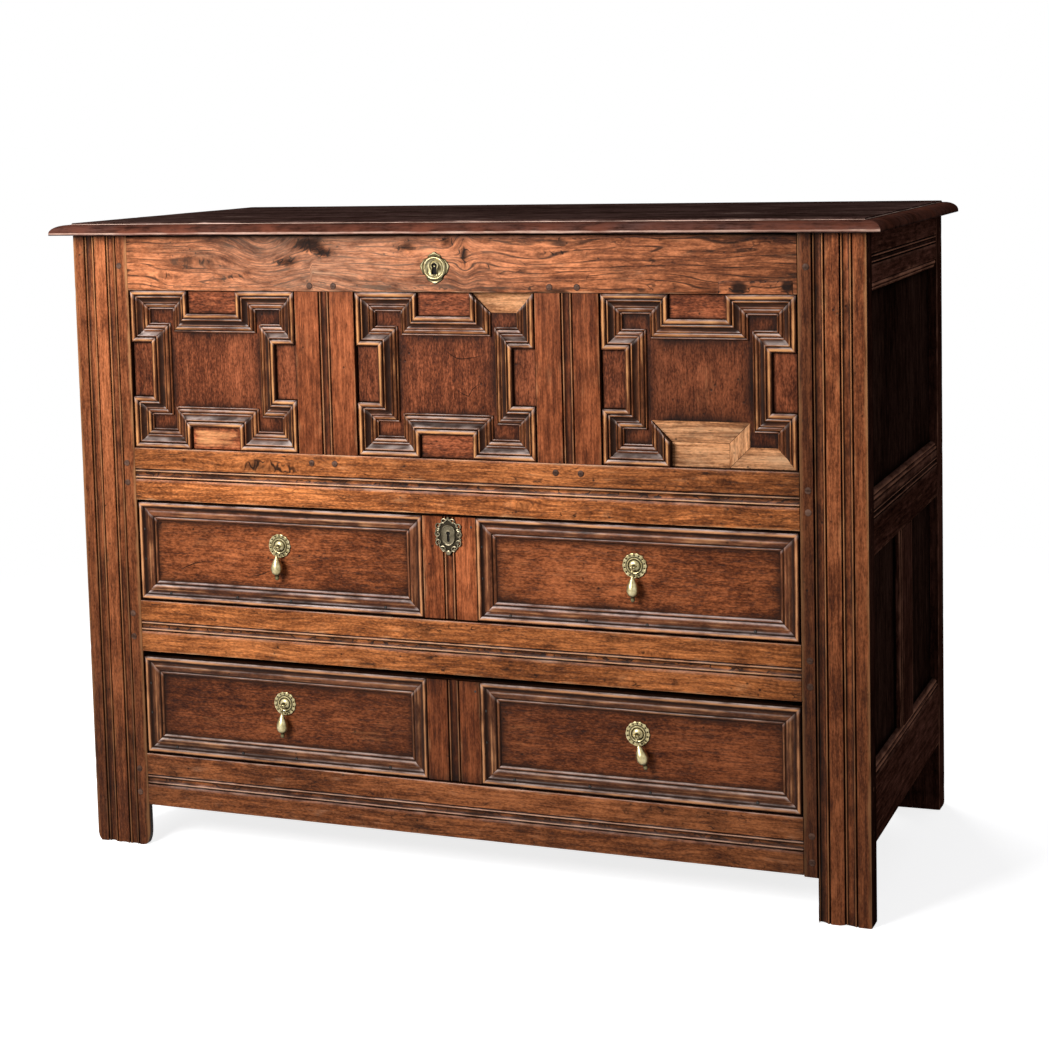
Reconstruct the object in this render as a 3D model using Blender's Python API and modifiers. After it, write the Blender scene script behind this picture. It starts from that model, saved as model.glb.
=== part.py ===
import bpy
import bmesh
from math import asin, cos, pi, radians, sin
from mathutils import Matrix, Vector

# A joined oak coffer: a lidded well with three moulded panels over two long drawers.
# Sizes are in metres. X runs along the front, -Y faces the front and Z goes up from the floor.

# Carcase
carcase_width = 1.220
carcase_depth = 0.560
fit = 0.0003  # gap between pieces that touch
reach = 0.003  # how far a cutter stands out of the face it cuts

# Front frame, heights from the floor up
foot_height = 0.065
bottom_rail_height = 0.081
lower_opening = 0.161
drawer_rail_height = 0.079
upper_opening = 0.156
middle_rail_height = 0.080
panel_opening = 0.240
top_rail_height = 0.084
stile_width = 0.094
front_stile_thick = 0.032
back_stile_thick = 0.042
rail_thick = 0.028
muntin_width = 0.095
foot_loss_width = 0.021  # inner strip split off the right front foot
foot_loss_height = 0.063

# Mortise and tenon joints
tenon_thick = 0.010
tenon_length = 0.038
tenon_shoulder = 0.012
side_tenon_length = 0.016
muntin_tenon_length = 0.024

# Scratch-cut bands: a hollow between two beads, with a V groove at each side
stile_band_width = 0.0190
rail_band_width = 0.017
muntin_band_width = 0.019
strip_band_width = 0.020
vee_width = 0.0024
vee_depth = 0.0016
band_bead_width = 0.0024
hollow_depth = 0.0020
hollow_facets = 4

# Front panels: a square outline with a notch in the middle of each side
panel_set = 0.013  # ground of the panel behind the frame's face
panel_thick = 0.009
notch_width = 0.082
notch_depth = 0.034
block_set = 0.007  # flat blocks in the notches, behind the frame's face
tongue_thick = 0.006
tongue_reach = 0.008
loss_margin = 0.0008  # what a lost stick leaves at its neighbours' mitres

# Mitred moulding on panels and drawers, widths from its outer edge inwards
bead_width = 0.0080
fillet_width = 0.0025
cove_width = 0.0135
toe_width = 0.0045
bead_drop = 0.0020  # from the bead's crown to the fillet beside it
toe_height = 0.0025  # small step at the foot of the cove
bead_facets = 4
cove_facets = 3

# Side frames
side_setback = 0.0015  # rails behind the stiles' outer faces
side_foot_height = 0.108
side_bottom_rail_height = 0.107
side_lower_opening = 0.290
side_middle_rail_height = 0.087
side_top_rail_height = 0.085
side_muntin_width = 0.095
side_panel_thick = 0.008
side_panel_set = 0.012
side_band_drop = 0.022  # moulding of the middle rail, below its upper edge

# Back boards in rebates of the back stiles
rebate_width = 0.020
back_board_thick = 0.015
back_foot_height = 0.100
back_lap = 0.034  # how far the upper board reaches below the floor of the well

# Floor of the well
floor_thick = 0.014
floor_rise = 0.014  # above the lower edge of the front's middle rail
floor_groove = 0.006

# Lid
lid_thick = 0.018
lid_front_board = 0.208
overhang_front = 0.028
overhang_back = 0.012
overhang_end = 0.024
lid_tip_height = 0.004
lid_round_width = 0.021
lid_step = 0.0025  # from the rounding's fillet up to the top
lid_fillet_width = 0.004
lid_round_facets = 4
lid_tongue_thick = 0.006
lid_tongue_reach = 0.006

# Lid hinges
hinge_inset = 0.230  # from the end of the carcase
strap_width = 0.0200
strap_length = 0.150
strap_thick = 0.0022
knuckle_radius = 0.0044
knuckle_length = 0.010
pin_radius = 0.0020
leaf_thick = 0.0025
leaf_height = 0.080

# Drawers
drawer_front_thick = 0.026
drawer_side_gap = 0.002
drawer_bottom_gap = 0.0025
upper_drawer_top_gap = 0.0035
lower_drawer_top_gap = 0.0085
drawer_rear_gap = 0.039  # to the back boards
drawer_field_set = 0.010
strip_width = 0.084
strip_set = 0.002
strip_thick = 0.006
drawer_bead_width = 0.0075
drawer_cove_width = 0.0130
drawer_side_thick = 0.016
drawer_side_rise = 0.003
drawer_side_drop = 0.019  # top edge of the side below that of the front
drawer_rabbet = 0.012
drawer_back_thick = 0.014
drawer_back_inset = 0.010
drawer_dado = 0.005
drawer_bottom_thick = 0.009
drawer_bottom_rise = 0.008
drawer_bottom_groove = 0.006

# Runners that the grooved drawer sides hang on
runner_thick = 0.018
runner_rise = 0.070  # middle of the runner above the drawer's lower edge
runner_reach = 0.0085  # into the drawer side
runner_stand = 0.030  # outwards from the drawer side
runner_tenon = 0.008
runner_shoulder = 0.004
runner_play = 0.0007

# Brass pulls and key plates
pull_lift = 0.017  # above the middle of the drawer front
rose_radius = 0.0185
rose_thick = 0.0012
rose_dome_radius = 0.0120
rose_dome_height = 0.0040
rose_boss_radius = 0.0036
rose_boss_height = 0.0010
ear_cheek = 0.0022
ear_height = 0.0060
ear_play = 0.0007
pivot_stand = 0.0115  # pivot in front of the drawer's field
pivot_radius = 0.0010
eye_radius = 0.0033
eye_bore = 0.0019
eye_width = 0.0030
drop_length = 0.0500
drop_radius = 0.0089
drop_belly = 0.0315  # widest place of the drop, below its pivot
drop_waist = 0.0425
waist_radius = 0.0028
finial_radius = 0.0032
neck_radius = 0.0014
neck_length = 0.0132
drop_tilt_lower_right = radians(18.0)  # this drop hangs askew
plate_thick = 0.0015
lock_plate_radius = 0.0235
lock_plate_shift = -0.0093
lock_plate_rise = 0.0347
lock_plate_lobes = 12
lock_keyhole_rise = 0.003
drawer_plate_width = 0.0430
drawer_plate_height = 0.0560
drawer_plate_margin = 0.0005  # to the drawer's top edge
drawer_plate_lobes = 8
drawer_keyhole_rise = 0.004
scallop_depth = 0.0026
scallop_facets = 4
pierce_width = 0.0064
pierce_height = 0.0090
pierce_spread_x = 0.0116
pierce_spread_z = 0.0140
keyhole_radius = 0.0032
keyhole_slot = 0.0026
keyhole_drop = 0.0110
round_steps = 16
profile_facets = 4

# Levels and planes that follow from these sizes
lower_z = foot_height + bottom_rail_height
drawer_rail_z = lower_z + lower_opening
upper_z = drawer_rail_z + drawer_rail_height
middle_rail_z = upper_z + upper_opening
panel_z = middle_rail_z + middle_rail_height
top_rail_z = panel_z + panel_opening
carcase_height = top_rail_z + top_rail_height
lid_depth = overhang_front + carcase_depth + overhang_back
front_y = -lid_depth / 2 + overhang_front
back_y = front_y + carcase_depth
inner_x = carcase_width / 2 - stile_width
side_x = carcase_width / 2 - side_setback
side_y = (front_y + front_stile_thick, back_y - back_stile_thick)
panel_width = (2 * inner_x - 2 * muntin_width) / 3
groove_depth = tongue_reach + fit
tenon_y = (front_y + (rail_thick - tenon_thick) / 2, front_y + (rail_thick + tenon_thick) / 2)
side_tenon_x = (side_x - (rail_thick + tenon_thick) / 2, side_x - (rail_thick - tenon_thick) / 2)
tongue_y = (front_y + panel_set + (panel_thick - tongue_thick) / 2,
            front_y + panel_set + (panel_thick + tongue_thick) / 2)
side_panel_x = (side_x - side_panel_set - side_panel_thick, side_x - side_panel_set)
side_lower_z = side_foot_height + side_bottom_rail_height
side_middle_z = side_lower_z + side_lower_opening
side_upper_z = side_middle_z + side_middle_rail_height
side_top_z = carcase_height - side_top_rail_height
side_muntin_y = (sum(side_y) / 2 - side_muntin_width / 2, sum(side_y) / 2 + side_muntin_width / 2)
floor_z = middle_rail_z + floor_rise
back_split_z = floor_z - back_lap
lid_z = carcase_height + fit
strap_z = (lid_z - fit - strap_thick, lid_z - fit)
back_top_z = strap_z[0] - 2 * fit
hinge_y = back_y + fit + leaf_thick / 2 + knuckle_radius
hinge_z = strap_z[1] - knuckle_radius - fit
drawer_x = inner_x - drawer_side_gap
runner_x = (drawer_x - runner_reach, drawer_x + runner_stand)
pull_x = (strip_width / 2 + drawer_x) / 2
drawer_rear_y = back_y - back_board_thick - drawer_rear_gap
lid_round_height = lid_thick - lid_tip_height - lid_step
ear_slot = eye_width * cos(drop_tilt_lower_right) + 2 * eye_radius * sin(drop_tilt_lower_right) + ear_play
ear_width = ear_slot + 2 * ear_cheek
front_rails = (
    ("front_bottom_rail", foot_height, bottom_rail_height, True),
    ("front_drawer_rail", drawer_rail_z, drawer_rail_height, True),
    ("front_middle_rail", middle_rail_z, middle_rail_height, True),
    ("front_top_rail", top_rail_z, top_rail_height, False),
)
side_rails = (
    ("side_bottom_rail", side_foot_height, side_bottom_rail_height, False),
    ("side_middle_rail", side_middle_z, side_middle_rail_height, True),
    ("side_top_rail", side_top_z, side_top_rail_height, False),
)
drawers = (
    ("upper", upper_z + drawer_bottom_gap, upper_opening - drawer_bottom_gap - upper_drawer_top_gap),
    ("lower", lower_z + drawer_bottom_gap, lower_opening - drawer_bottom_gap - lower_drawer_top_gap),
)
hands = (("left", -1), ("right", 1))

for old in list(bpy.data.objects):
    bpy.data.objects.remove(old, do_unlink=True)
parts = bpy.data.collections.new("wooden_coffer")
cutters = bpy.data.collections.new("coffer_cutters")
bpy.context.scene.collection.children.link(parts)
bpy.context.scene.collection.children.link(cutters)


def material(name, colour, roughness, metallic=0.0):
    mat = bpy.data.materials.new(name)
    mat.use_nodes = True
    shader = mat.node_tree.nodes["Principled BSDF"]
    shader.inputs["Base Color"].default_value = (*colour, 1.0)
    shader.inputs["Roughness"].default_value = roughness
    shader.inputs["Metallic"].default_value = metallic
    mat.diffuse_color = (*colour, 1.0)
    return mat


frame_oak = material("frame_oak", (0.21, 0.085, 0.032), 0.45)
panel_oak = material("panel_oak", (0.17, 0.060, 0.024), 0.45)
lid_oak = material("lid_oak", (0.075, 0.030, 0.018), 0.40)
drawer_oak = material("drawer_oak", (0.22, 0.090, 0.034), 0.42)
inside_oak = material("inside_oak", (0.26, 0.16, 0.085), 0.70)
brass = material("old_brass", (0.52, 0.44, 0.22), 0.38, 1.0)
iron = material("hinge_iron", (0.05, 0.047, 0.045), 0.60, 1.0)


def span(start, size):
    return (start, start + size)


def around(middle, size):
    return (middle - size / 2, middle + size / 2)


def grow(interval, by=fit):
    return (interval[0] - by, interval[1] + by)


def mirrored(interval, sign):
    return tuple(sorted((sign * interval[0], sign * interval[1])))


def add_boxes(bm, boxes):
    for box in boxes:
        size = [b[1] - b[0] for b in box]
        middle = Vector([sum(b) / 2 for b in box])
        bmesh.ops.create_cube(bm, size=1.0, matrix=Matrix.Translation(middle) @ Matrix.Diagonal((*size, 1.0)))


def mesh_object(name, bm, finish, location=(0.0, 0.0, 0.0)):
    mesh = bpy.data.meshes.new(name)
    bm.to_mesh(mesh)
    bm.free()
    obj = bpy.data.objects.new(name, mesh)
    obj.location = location
    if finish:
        mesh.materials.append(finish)
        parts.objects.link(obj)
    else:
        cutters.objects.link(obj)
        obj.hide_render = True
        obj.display_type = "WIRE"
    return obj


def board(name, x, y, z, finish):
    bm = bmesh.new()
    size = (x[1] - x[0], y[1] - y[0], z[1] - z[0])
    bmesh.ops.create_cube(bm, size=1.0, matrix=Matrix.Diagonal((*size, 1.0)))
    return mesh_object(name, bm, finish, (sum(x) / 2, sum(y) / 2, sum(z) / 2))


def shape_with(obj, helper, operation, solver="EXACT"):
    boolean = obj.modifiers.new(helper.name, "BOOLEAN")
    boolean.operation = operation
    boolean.object = helper
    boolean.solver = solver


def cut_boxes(obj, boxes):
    bm = bmesh.new()
    add_boxes(bm, boxes)
    shape_with(obj, mesh_object(obj.name + "_cut", bm, None), "DIFFERENCE")


def join_box(obj, x, y, z, solver="EXACT"):
    bm = bmesh.new()
    add_boxes(bm, [(x, y, z)])
    shape_with(obj, mesh_object(obj.name + "_join", bm, None), "UNION", solver)


def rod(obj, x, y, z, radius, operation):
    # a round rod along X that is added to a piece or bored through it
    bm = bmesh.new()
    turn = Matrix.Translation((sum(x) / 2, y, z)) @ Matrix.Rotation(pi / 2, 4, "Y")
    bmesh.ops.create_cone(bm, cap_ends=True, segments=round_steps, radius1=radius, radius2=radius,
                          depth=x[1] - x[0], matrix=turn)
    shape_with(obj, mesh_object(obj.name + "_rod", bm, None), operation)


def band(middle, width):
    # points across one scratch-cut band, as distance along the face and depth below it
    half = width / 2
    edge = half - vee_width - band_bead_width
    left = [(-half, 0.0), (-half + vee_width / 2, vee_depth), (-half + vee_width, 0.0), (-edge, 0.0)]
    hollow = []
    for i in range(1, hollow_facets):
        turn = i / hollow_facets
        hollow.append((-edge + 2 * edge * turn, hollow_depth * sin(pi * turn)))
    right = [(-u, d) for u, d in reversed(left)]
    return [(middle + u, d) for u, d in left + hollow + right]


def section(width, thick, bands=()):
    # outline of a board's cross-section with its bands on the face
    points = [(0.0, 0.0)]
    for middle, band_width in bands:
        points += band(middle, band_width)
    return points + [(width, 0.0), (width, thick), (0.0, thick)]


def flat_mesh(name, outlines, thick):
    # closed outlines in a plane, holes included, made as thick as given
    curve = bpy.data.curves.new(name, "CURVE")
    curve.dimensions = "2D"
    curve.fill_mode = "BOTH"
    curve.extrude = thick / 2
    for outline in outlines:
        spline = curve.splines.new("POLY")
        spline.points.add(len(outline) - 1)
        for point, (u, v) in zip(spline.points, outline):
            point.co = (u, v, 0.0, 1.0)
        spline.use_cyclic_u = True
    obj = bpy.data.objects.new(name, curve)
    bpy.context.scene.collection.objects.link(obj)
    bpy.context.view_layer.update()
    mesh = bpy.data.meshes.new_from_object(obj.evaluated_get(bpy.context.evaluated_depsgraph_get()))
    bpy.data.objects.remove(obj, do_unlink=True)
    bpy.data.curves.remove(curve)
    bm = bmesh.new()
    bm.from_mesh(mesh)
    bpy.data.meshes.remove(mesh)
    bmesh.ops.remove_doubles(bm, verts=bm.verts, dist=0.00001)
    bmesh.ops.recalc_face_normals(bm, faces=bm.faces)
    return bm


def bar(name, outline, length, across, inward, corner, finish):
    # a board with a moulded section; across and inward are the section's own directions
    obj = mesh_object(name, flat_mesh(name, [outline], length), finish)
    along = Vector(across).cross(Vector(inward))
    turn = Matrix((across, inward, along)).transposed().to_4x4()
    obj.matrix_world = Matrix.Translation(corner) @ turn
    return obj


def front_frame():
    for name, z, height, moulded in front_rails:
        bands = ((height / 2, rail_band_width),) if moulded else ()
        rail = bar(name, section(height, rail_thick, bands), 2 * (inner_x - fit),
                   (0, 0, 1), (0, 1, 0), (0, front_y, z), frame_oak)
        tenon_z = grow(span(z, height), -tenon_shoulder)
        join_box(rail, around(0, 2 * (inner_x + tenon_length)), tenon_y, tenon_z)
        hollows = []
        if name == "front_middle_rail":
            floor_y = grow((front_y + rail_thick - floor_groove, front_y + rail_thick + reach))
            hollows.append((around(0, 2 * inner_x + reach), floor_y, grow(span(floor_z, floor_thick))))
        if name in ("front_middle_rail", "front_top_rail"):
            groove_z = (z - reach, z + groove_depth)
            deep_z = (z - reach, z + muntin_tenon_length + fit)
            if name == "front_middle_rail":
                groove_z = (z + height - groove_depth, z + height + reach)
                deep_z = (z + height - muntin_tenon_length - fit, z + height + reach)
            for i in range(3):
                middle = (i - 1) * (panel_width + muntin_width)
                hollows.append((around(middle, panel_width + 2 * groove_depth), grow(tongue_y), groove_z))
            for i in (-1, 1):
                middle = i * (panel_width + muntin_width) / 2
                mortise_x = grow(around(middle, muntin_width - 2 * tenon_shoulder))
                hollows.append((mortise_x, grow(tenon_y), deep_z))
        if hollows:
            cut_boxes(rail, hollows)
    for hand, sign in hands:
        middle = sign * (panel_width + muntin_width) / 2
        outline = section(muntin_width, rail_thick, ((muntin_width / 2, muntin_band_width),))
        muntin = bar("front_muntin_" + hand, outline, panel_opening - 2 * fit, (1, 0, 0), (0, 1, 0),
                     (middle - muntin_width / 2, front_y, panel_z + panel_opening / 2), frame_oak)
        join_box(muntin, around(middle, muntin_width - 2 * tenon_shoulder), tenon_y,
                 grow(span(panel_z, panel_opening), muntin_tenon_length))
        edges = around(middle, muntin_width)
        groove_z = grow(span(panel_z, panel_opening), reach)
        cut_boxes(muntin, [
            ((edges[0] - reach, edges[0] + groove_depth), grow(tongue_y), groove_z),
            ((edges[1] - groove_depth, edges[1] + reach), grow(tongue_y), groove_z),
        ])


def in_notch(point, half_width, half_height):
    beside = abs(point.x) < notch_width / 2 and abs(point.z) > half_height - notch_depth
    level = abs(point.z) < notch_width / 2 and abs(point.x) > half_width - notch_depth
    return beside or level


def front_faces(bm):
    return [f for f in bm.faces if f.normal.y < -0.9]


def score_front(bm, normal, distance):
    # divides the front face along two lines, one on each side of its middle
    for sign in (-1, 1):
        faces = front_faces(bm)
        edges = {e for f in faces for e in f.edges}
        verts = {v for f in faces for v in f.verts}
        bmesh.ops.bisect_plane(bm, geom=list(verts) + list(edges) + faces,
                               plane_co=Vector(normal) * distance * sign, plane_no=normal)


def raise_moulding(bm, faces, start, bead, cove, ground):
    # mitred moulding round a region of the front: a bead level with the frame, a fillet, a cove and a step
    steps = [(fit, start - bead_drop)]
    for i in range(bead_facets):
        a = pi * i / bead_facets
        b = pi * (i + 1) / bead_facets
        steps.append((bead / 2 * (cos(a) - cos(b)), bead_drop * (sin(b) - sin(a))))
    steps.append((fillet_width, 0.0))
    fall = ground - toe_height - bead_drop
    for i in range(cove_facets):
        a = pi / 2 * i / cove_facets
        b = pi / 2 * (i + 1) / cove_facets
        steps.append((cove * (cos(a) - cos(b)), -fall * (sin(b) - sin(a))))
    steps += [(toe_width, 0.0), (fit, -toe_height)]
    for width, rise in steps:
        bmesh.ops.inset_region(bm, faces=faces, thickness=width, depth=rise, use_even_offset=True)


def missing_prism(panel, middle, outline):
    # cuts a lost piece of moulding away, down to the ground of the panel
    depth = panel_set + reach
    bm = flat_mesh(panel.name + "_lost", [outline], depth)
    cutter = mesh_object(panel.name + "_lost", bm, None)
    turn = Matrix(((1, 0, 0), (0, 0, -1), (0, 1, 0))).to_4x4()
    middle_y = front_y + panel_set + fit / 2 - depth / 2
    cutter.matrix_world = Matrix.Translation((middle, middle_y, panel_z)) @ turn
    shape_with(panel, cutter, "DIFFERENCE", "MANIFOLD")


def front_panels():
    half_width = panel_width / 2 - fit
    half_height = panel_opening / 2 - fit
    mould = bead_width + fillet_width + cove_width + toe_width + 2 * fit
    for i, place in enumerate(("left", "centre", "right")):
        middle = (i - 1) * (panel_width + muntin_width)
        bm = bmesh.new()
        depth = (block_set, panel_set + panel_thick)
        add_boxes(bm, [((-half_width, half_width), depth, (-half_height, half_height))])
        for edge in (notch_width / 2, half_width - notch_depth):
            score_front(bm, (1, 0, 0), edge)
        for edge in (notch_width / 2, half_height - notch_depth):
            score_front(bm, (0, 0, 1), edge)
        cross = [f for f in front_faces(bm) if not in_notch(f.calc_center_median(), half_width, half_height)]
        cross = bmesh.ops.dissolve_faces(bm, faces=cross)["region"]
        raise_moulding(bm, cross, block_set, bead_width, cove_width, panel_set)
        panel = mesh_object("front_panel_" + place, bm, panel_oak,
                            (middle, front_y, panel_z + panel_opening / 2))
        join_box(panel, around(middle, panel_width + 2 * tongue_reach), tongue_y,
                 grow(span(panel_z, panel_opening), tongue_reach), "MANIFOLD")
        gap = loss_margin
        edge = panel_width / 2 - gap
        notch = notch_width / 2
        if place == "centre":
            # the top stick of the upper right corner is lost
            top = panel_opening
            missing_prism(panel, middle, [
                (notch + gap, top + reach), (notch + gap, top), (notch + mould + 2 * gap, top - mould - gap),
                (edge - mould - gap, top - mould - gap), (edge, top), (edge, top + reach)])
        if place == "right":
            # lost: the bottom stick, its block, and two sticks of the lower right corner
            inner = notch + mould + gap
            missing_prism(panel, middle, [
                (-notch + gap, -reach), (-notch + gap, notch_depth),
                (-notch - mould, notch_depth + mould + gap), (inner, notch_depth + mould + gap),
                (inner, mould + gap), (edge - mould - gap, mould + gap),
                (edge, 0.0), (edge, -reach)])


def stiles():
    for hand, sign in hands:
        x = mirrored((inner_x, carcase_width / 2), sign)
        flat = (stile_width - 2 * stile_band_width) / 3
        bands = [(flat + stile_band_width / 2, stile_band_width)]
        bands.append((stile_width - flat - stile_band_width / 2, stile_band_width))
        front = bar("stile_front_" + hand, section(stile_width, front_stile_thick, bands), carcase_height,
                    (1, 0, 0), (0, 1, 0), (x[0], front_y, carcase_height / 2), frame_oak)
        back = board("stile_back_" + hand, x, (side_y[1], back_y), (0.0, carcase_height), frame_oak)
        mortises = []
        for name, z, height, moulded in front_rails:
            mortises.append((mirrored((inner_x - reach, inner_x + tenon_length + fit), sign), grow(tenon_y),
                             grow(grow(span(z, height), -tenon_shoulder))))
        mortises.append((mirrored((inner_x - reach, inner_x + groove_depth), sign), grow(tongue_y),
                         grow(span(panel_z, panel_opening), groove_depth)))
        front_y_cut = (side_y[0] - side_tenon_length - fit, side_y[0] + reach)
        back_y_cut = (side_y[1] - reach, side_y[1] + side_tenon_length + fit)
        back_cuts = []
        for name, z, height, moulded in side_rails:
            tenon_z = grow(grow(span(z, height), -tenon_shoulder))
            mortises.append((mirrored(grow(side_tenon_x), sign), front_y_cut, tenon_z))
            back_cuts.append((mirrored(grow(side_tenon_x), sign), back_y_cut, tenon_z))
        for z in ((side_lower_z, side_middle_z), (side_upper_z, side_top_z)):
            groove = mirrored(grow(side_panel_x), sign)
            mortises.append((groove, (side_y[0] - groove_depth, side_y[0] + reach), grow(z, groove_depth)))
            back_cuts.append((groove, (side_y[1] - reach, side_y[1] + groove_depth), grow(z, groove_depth)))
        for place, z, height in drawers:
            tenon_z = grow(around(z + runner_rise, runner_thick - 2 * runner_shoulder))
            tenon_x = mirrored(grow((inner_x + runner_shoulder, runner_x[1] - runner_shoulder)), sign)
            mortises.append((tenon_x, (side_y[0] - runner_tenon - fit, side_y[0] + reach), tenon_z))
            back_cuts.append((tenon_x, (side_y[1] - reach, side_y[1] + runner_tenon + fit), tenon_z))
        back_cuts.append((mirrored((inner_x - reach, inner_x + rebate_width), sign),
                          (back_y - back_board_thick - fit, back_y + reach),
                          (back_foot_height - fit, carcase_height + reach)))
        cut_boxes(front, mortises)
        cut_boxes(back, back_cuts)
        if hand == "right":
            loss_x = (inner_x - reach, inner_x + foot_loss_width)
            cut_boxes(front, [(loss_x, grow((front_y, side_y[0]), reach), (-reach, foot_loss_height))])


def side_frames():
    length = side_y[1] - side_y[0]
    middle_y = sum(side_y) / 2
    muntin_z = (side_lower_z, side_middle_z)
    for hand, sign in hands:
        for name, z, height, moulded in side_rails:
            bands = ((height - side_band_drop, rail_band_width),) if moulded else ()
            rail = bar(name + "_" + hand, section(height, rail_thick, bands), length - 2 * fit,
                       (0, 0, 1), (-sign, 0, 0), (sign * side_x, middle_y, z), frame_oak)
            join_box(rail, mirrored(side_tenon_x, sign), grow(side_y, side_tenon_length),
                     grow(span(z, height), -tenon_shoulder))
            groove = mirrored(grow(side_panel_x), sign)
            top_edge = (z + height - groove_depth, z + height + reach)
            low_edge = (z - reach, z + groove_depth)
            muntin_y = grow(grow(side_muntin_y, -tenon_shoulder))
            front_run = (side_y[0] - reach, side_muntin_y[0] + groove_depth)
            back_run = (side_muntin_y[1] - groove_depth, side_y[1] + reach)
            hollows = []
            if name == "side_bottom_rail":
                hollows.append((groove, front_run, top_edge))
                hollows.append((groove, back_run, top_edge))
                hollows.append((mirrored(grow(side_tenon_x), sign), muntin_y,
                                (z + height - muntin_tenon_length - fit, z + height + reach)))
            elif name == "side_middle_rail":
                hollows.append((groove, front_run, low_edge))
                hollows.append((groove, back_run, low_edge))
                hollows.append((mirrored(grow(side_tenon_x), sign), muntin_y,
                                (z - reach, z + muntin_tenon_length + fit)))
                hollows.append((groove, grow(side_y, reach), top_edge))
            else:
                hollows.append((groove, grow(side_y, reach), low_edge))
            cut_boxes(rail, hollows)
        rail_x = mirrored((side_x - rail_thick, side_x), sign)
        muntin = board("side_muntin_" + hand, rail_x, side_muntin_y, grow(muntin_z, -fit), frame_oak)
        join_box(muntin, mirrored(side_tenon_x, sign), grow(side_muntin_y, -tenon_shoulder),
                 grow(muntin_z, muntin_tenon_length))
        groove = mirrored(grow(side_panel_x), sign)
        cut_boxes(muntin, [
            (groove, (side_muntin_y[0] - reach, side_muntin_y[0] + groove_depth), grow(muntin_z, reach)),
            (groove, (side_muntin_y[1] - groove_depth, side_muntin_y[1] + reach), grow(muntin_z, reach)),
        ])
        panel_x = mirrored(side_panel_x, sign)
        panels = (
            ("side_upper_panel_", side_y, (side_upper_z, side_top_z)),
            ("side_lower_panel_front_", (side_y[0], side_muntin_y[0]), muntin_z),
            ("side_lower_panel_back_", (side_muntin_y[1], side_y[1]), muntin_z),
        )
        for name, y, z in panels:
            board(name + hand, panel_x, grow(y, tongue_reach), grow(z, tongue_reach), panel_oak)


def back_and_floor():
    board_x = around(0, 2 * (inner_x + rebate_width - fit))
    board_y = (back_y - back_board_thick, back_y)
    board("back_board_lower", board_x, board_y, (back_foot_height, back_split_z - fit), inside_oak)
    upper = board("back_board_upper", board_x, board_y, (back_split_z, back_top_z), inside_oak)
    cut_boxes(upper, [(grow(board_x, reach), (board_y[0] - reach, board_y[0] + floor_groove + fit),
                       grow(span(floor_z, floor_thick)))])
    floor_y = (front_y + rail_thick - floor_groove, board_y[0] + floor_groove)
    floor_x = around(0, 2 * (side_x - rail_thick - fit))
    floor = board("well_floor", floor_x, floor_y, span(floor_z, floor_thick), inside_oak)
    corner_z = grow(span(floor_z, floor_thick), reach)
    corners = []
    for hand, sign in hands:
        corner_x = mirrored((inner_x - fit, carcase_width / 2), sign)
        corners.append((corner_x, (floor_y[0] - reach, side_y[0] + fit), corner_z))
        corners.append((corner_x, (side_y[1] - fit, floor_y[1] + reach), corner_z))
    cut_boxes(floor, corners)


def lid_blank():
    # the whole lid, moulded all round and longer than needed at the back
    width = carcase_width + 2 * overhang_end
    spare = lid_round_width + lid_fillet_width + reach
    bm = bmesh.new()
    add_boxes(bm, [(around(0, width), (-lid_depth / 2, lid_depth / 2 + spare), span(lid_z, lid_tip_height))])
    top = [f for f in bm.faces if f.normal.z > 0.9]
    for i in range(lid_round_facets):
        a = pi / 2 * i / lid_round_facets
        b = pi / 2 * (i + 1) / lid_round_facets
        bmesh.ops.inset_region(bm, faces=top, thickness=lid_round_width * (cos(a) - cos(b)),
                               depth=lid_round_height * (sin(b) - sin(a)), use_even_offset=True)
    bmesh.ops.inset_region(bm, faces=top, thickness=lid_fillet_width, depth=0.0, use_even_offset=True)
    step = lid_thick - lid_tip_height - lid_round_height
    bmesh.ops.inset_region(bm, faces=top, thickness=fit, depth=step, use_even_offset=True)
    return bm


def trim(bm, y, keep_front):
    sign = 1 if keep_front else -1
    cut = bmesh.ops.bisect_plane(bm, geom=bm.verts[:] + bm.edges[:] + bm.faces[:], plane_co=(0, y, 0),
                                 plane_no=(0, sign, 0), clear_outer=True)
    bmesh.ops.holes_fill(bm, edges=[e for e in cut["geom_cut"] if isinstance(e, bmesh.types.BMEdge)])
    bmesh.ops.recalc_face_normals(bm, faces=bm.faces)


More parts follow.
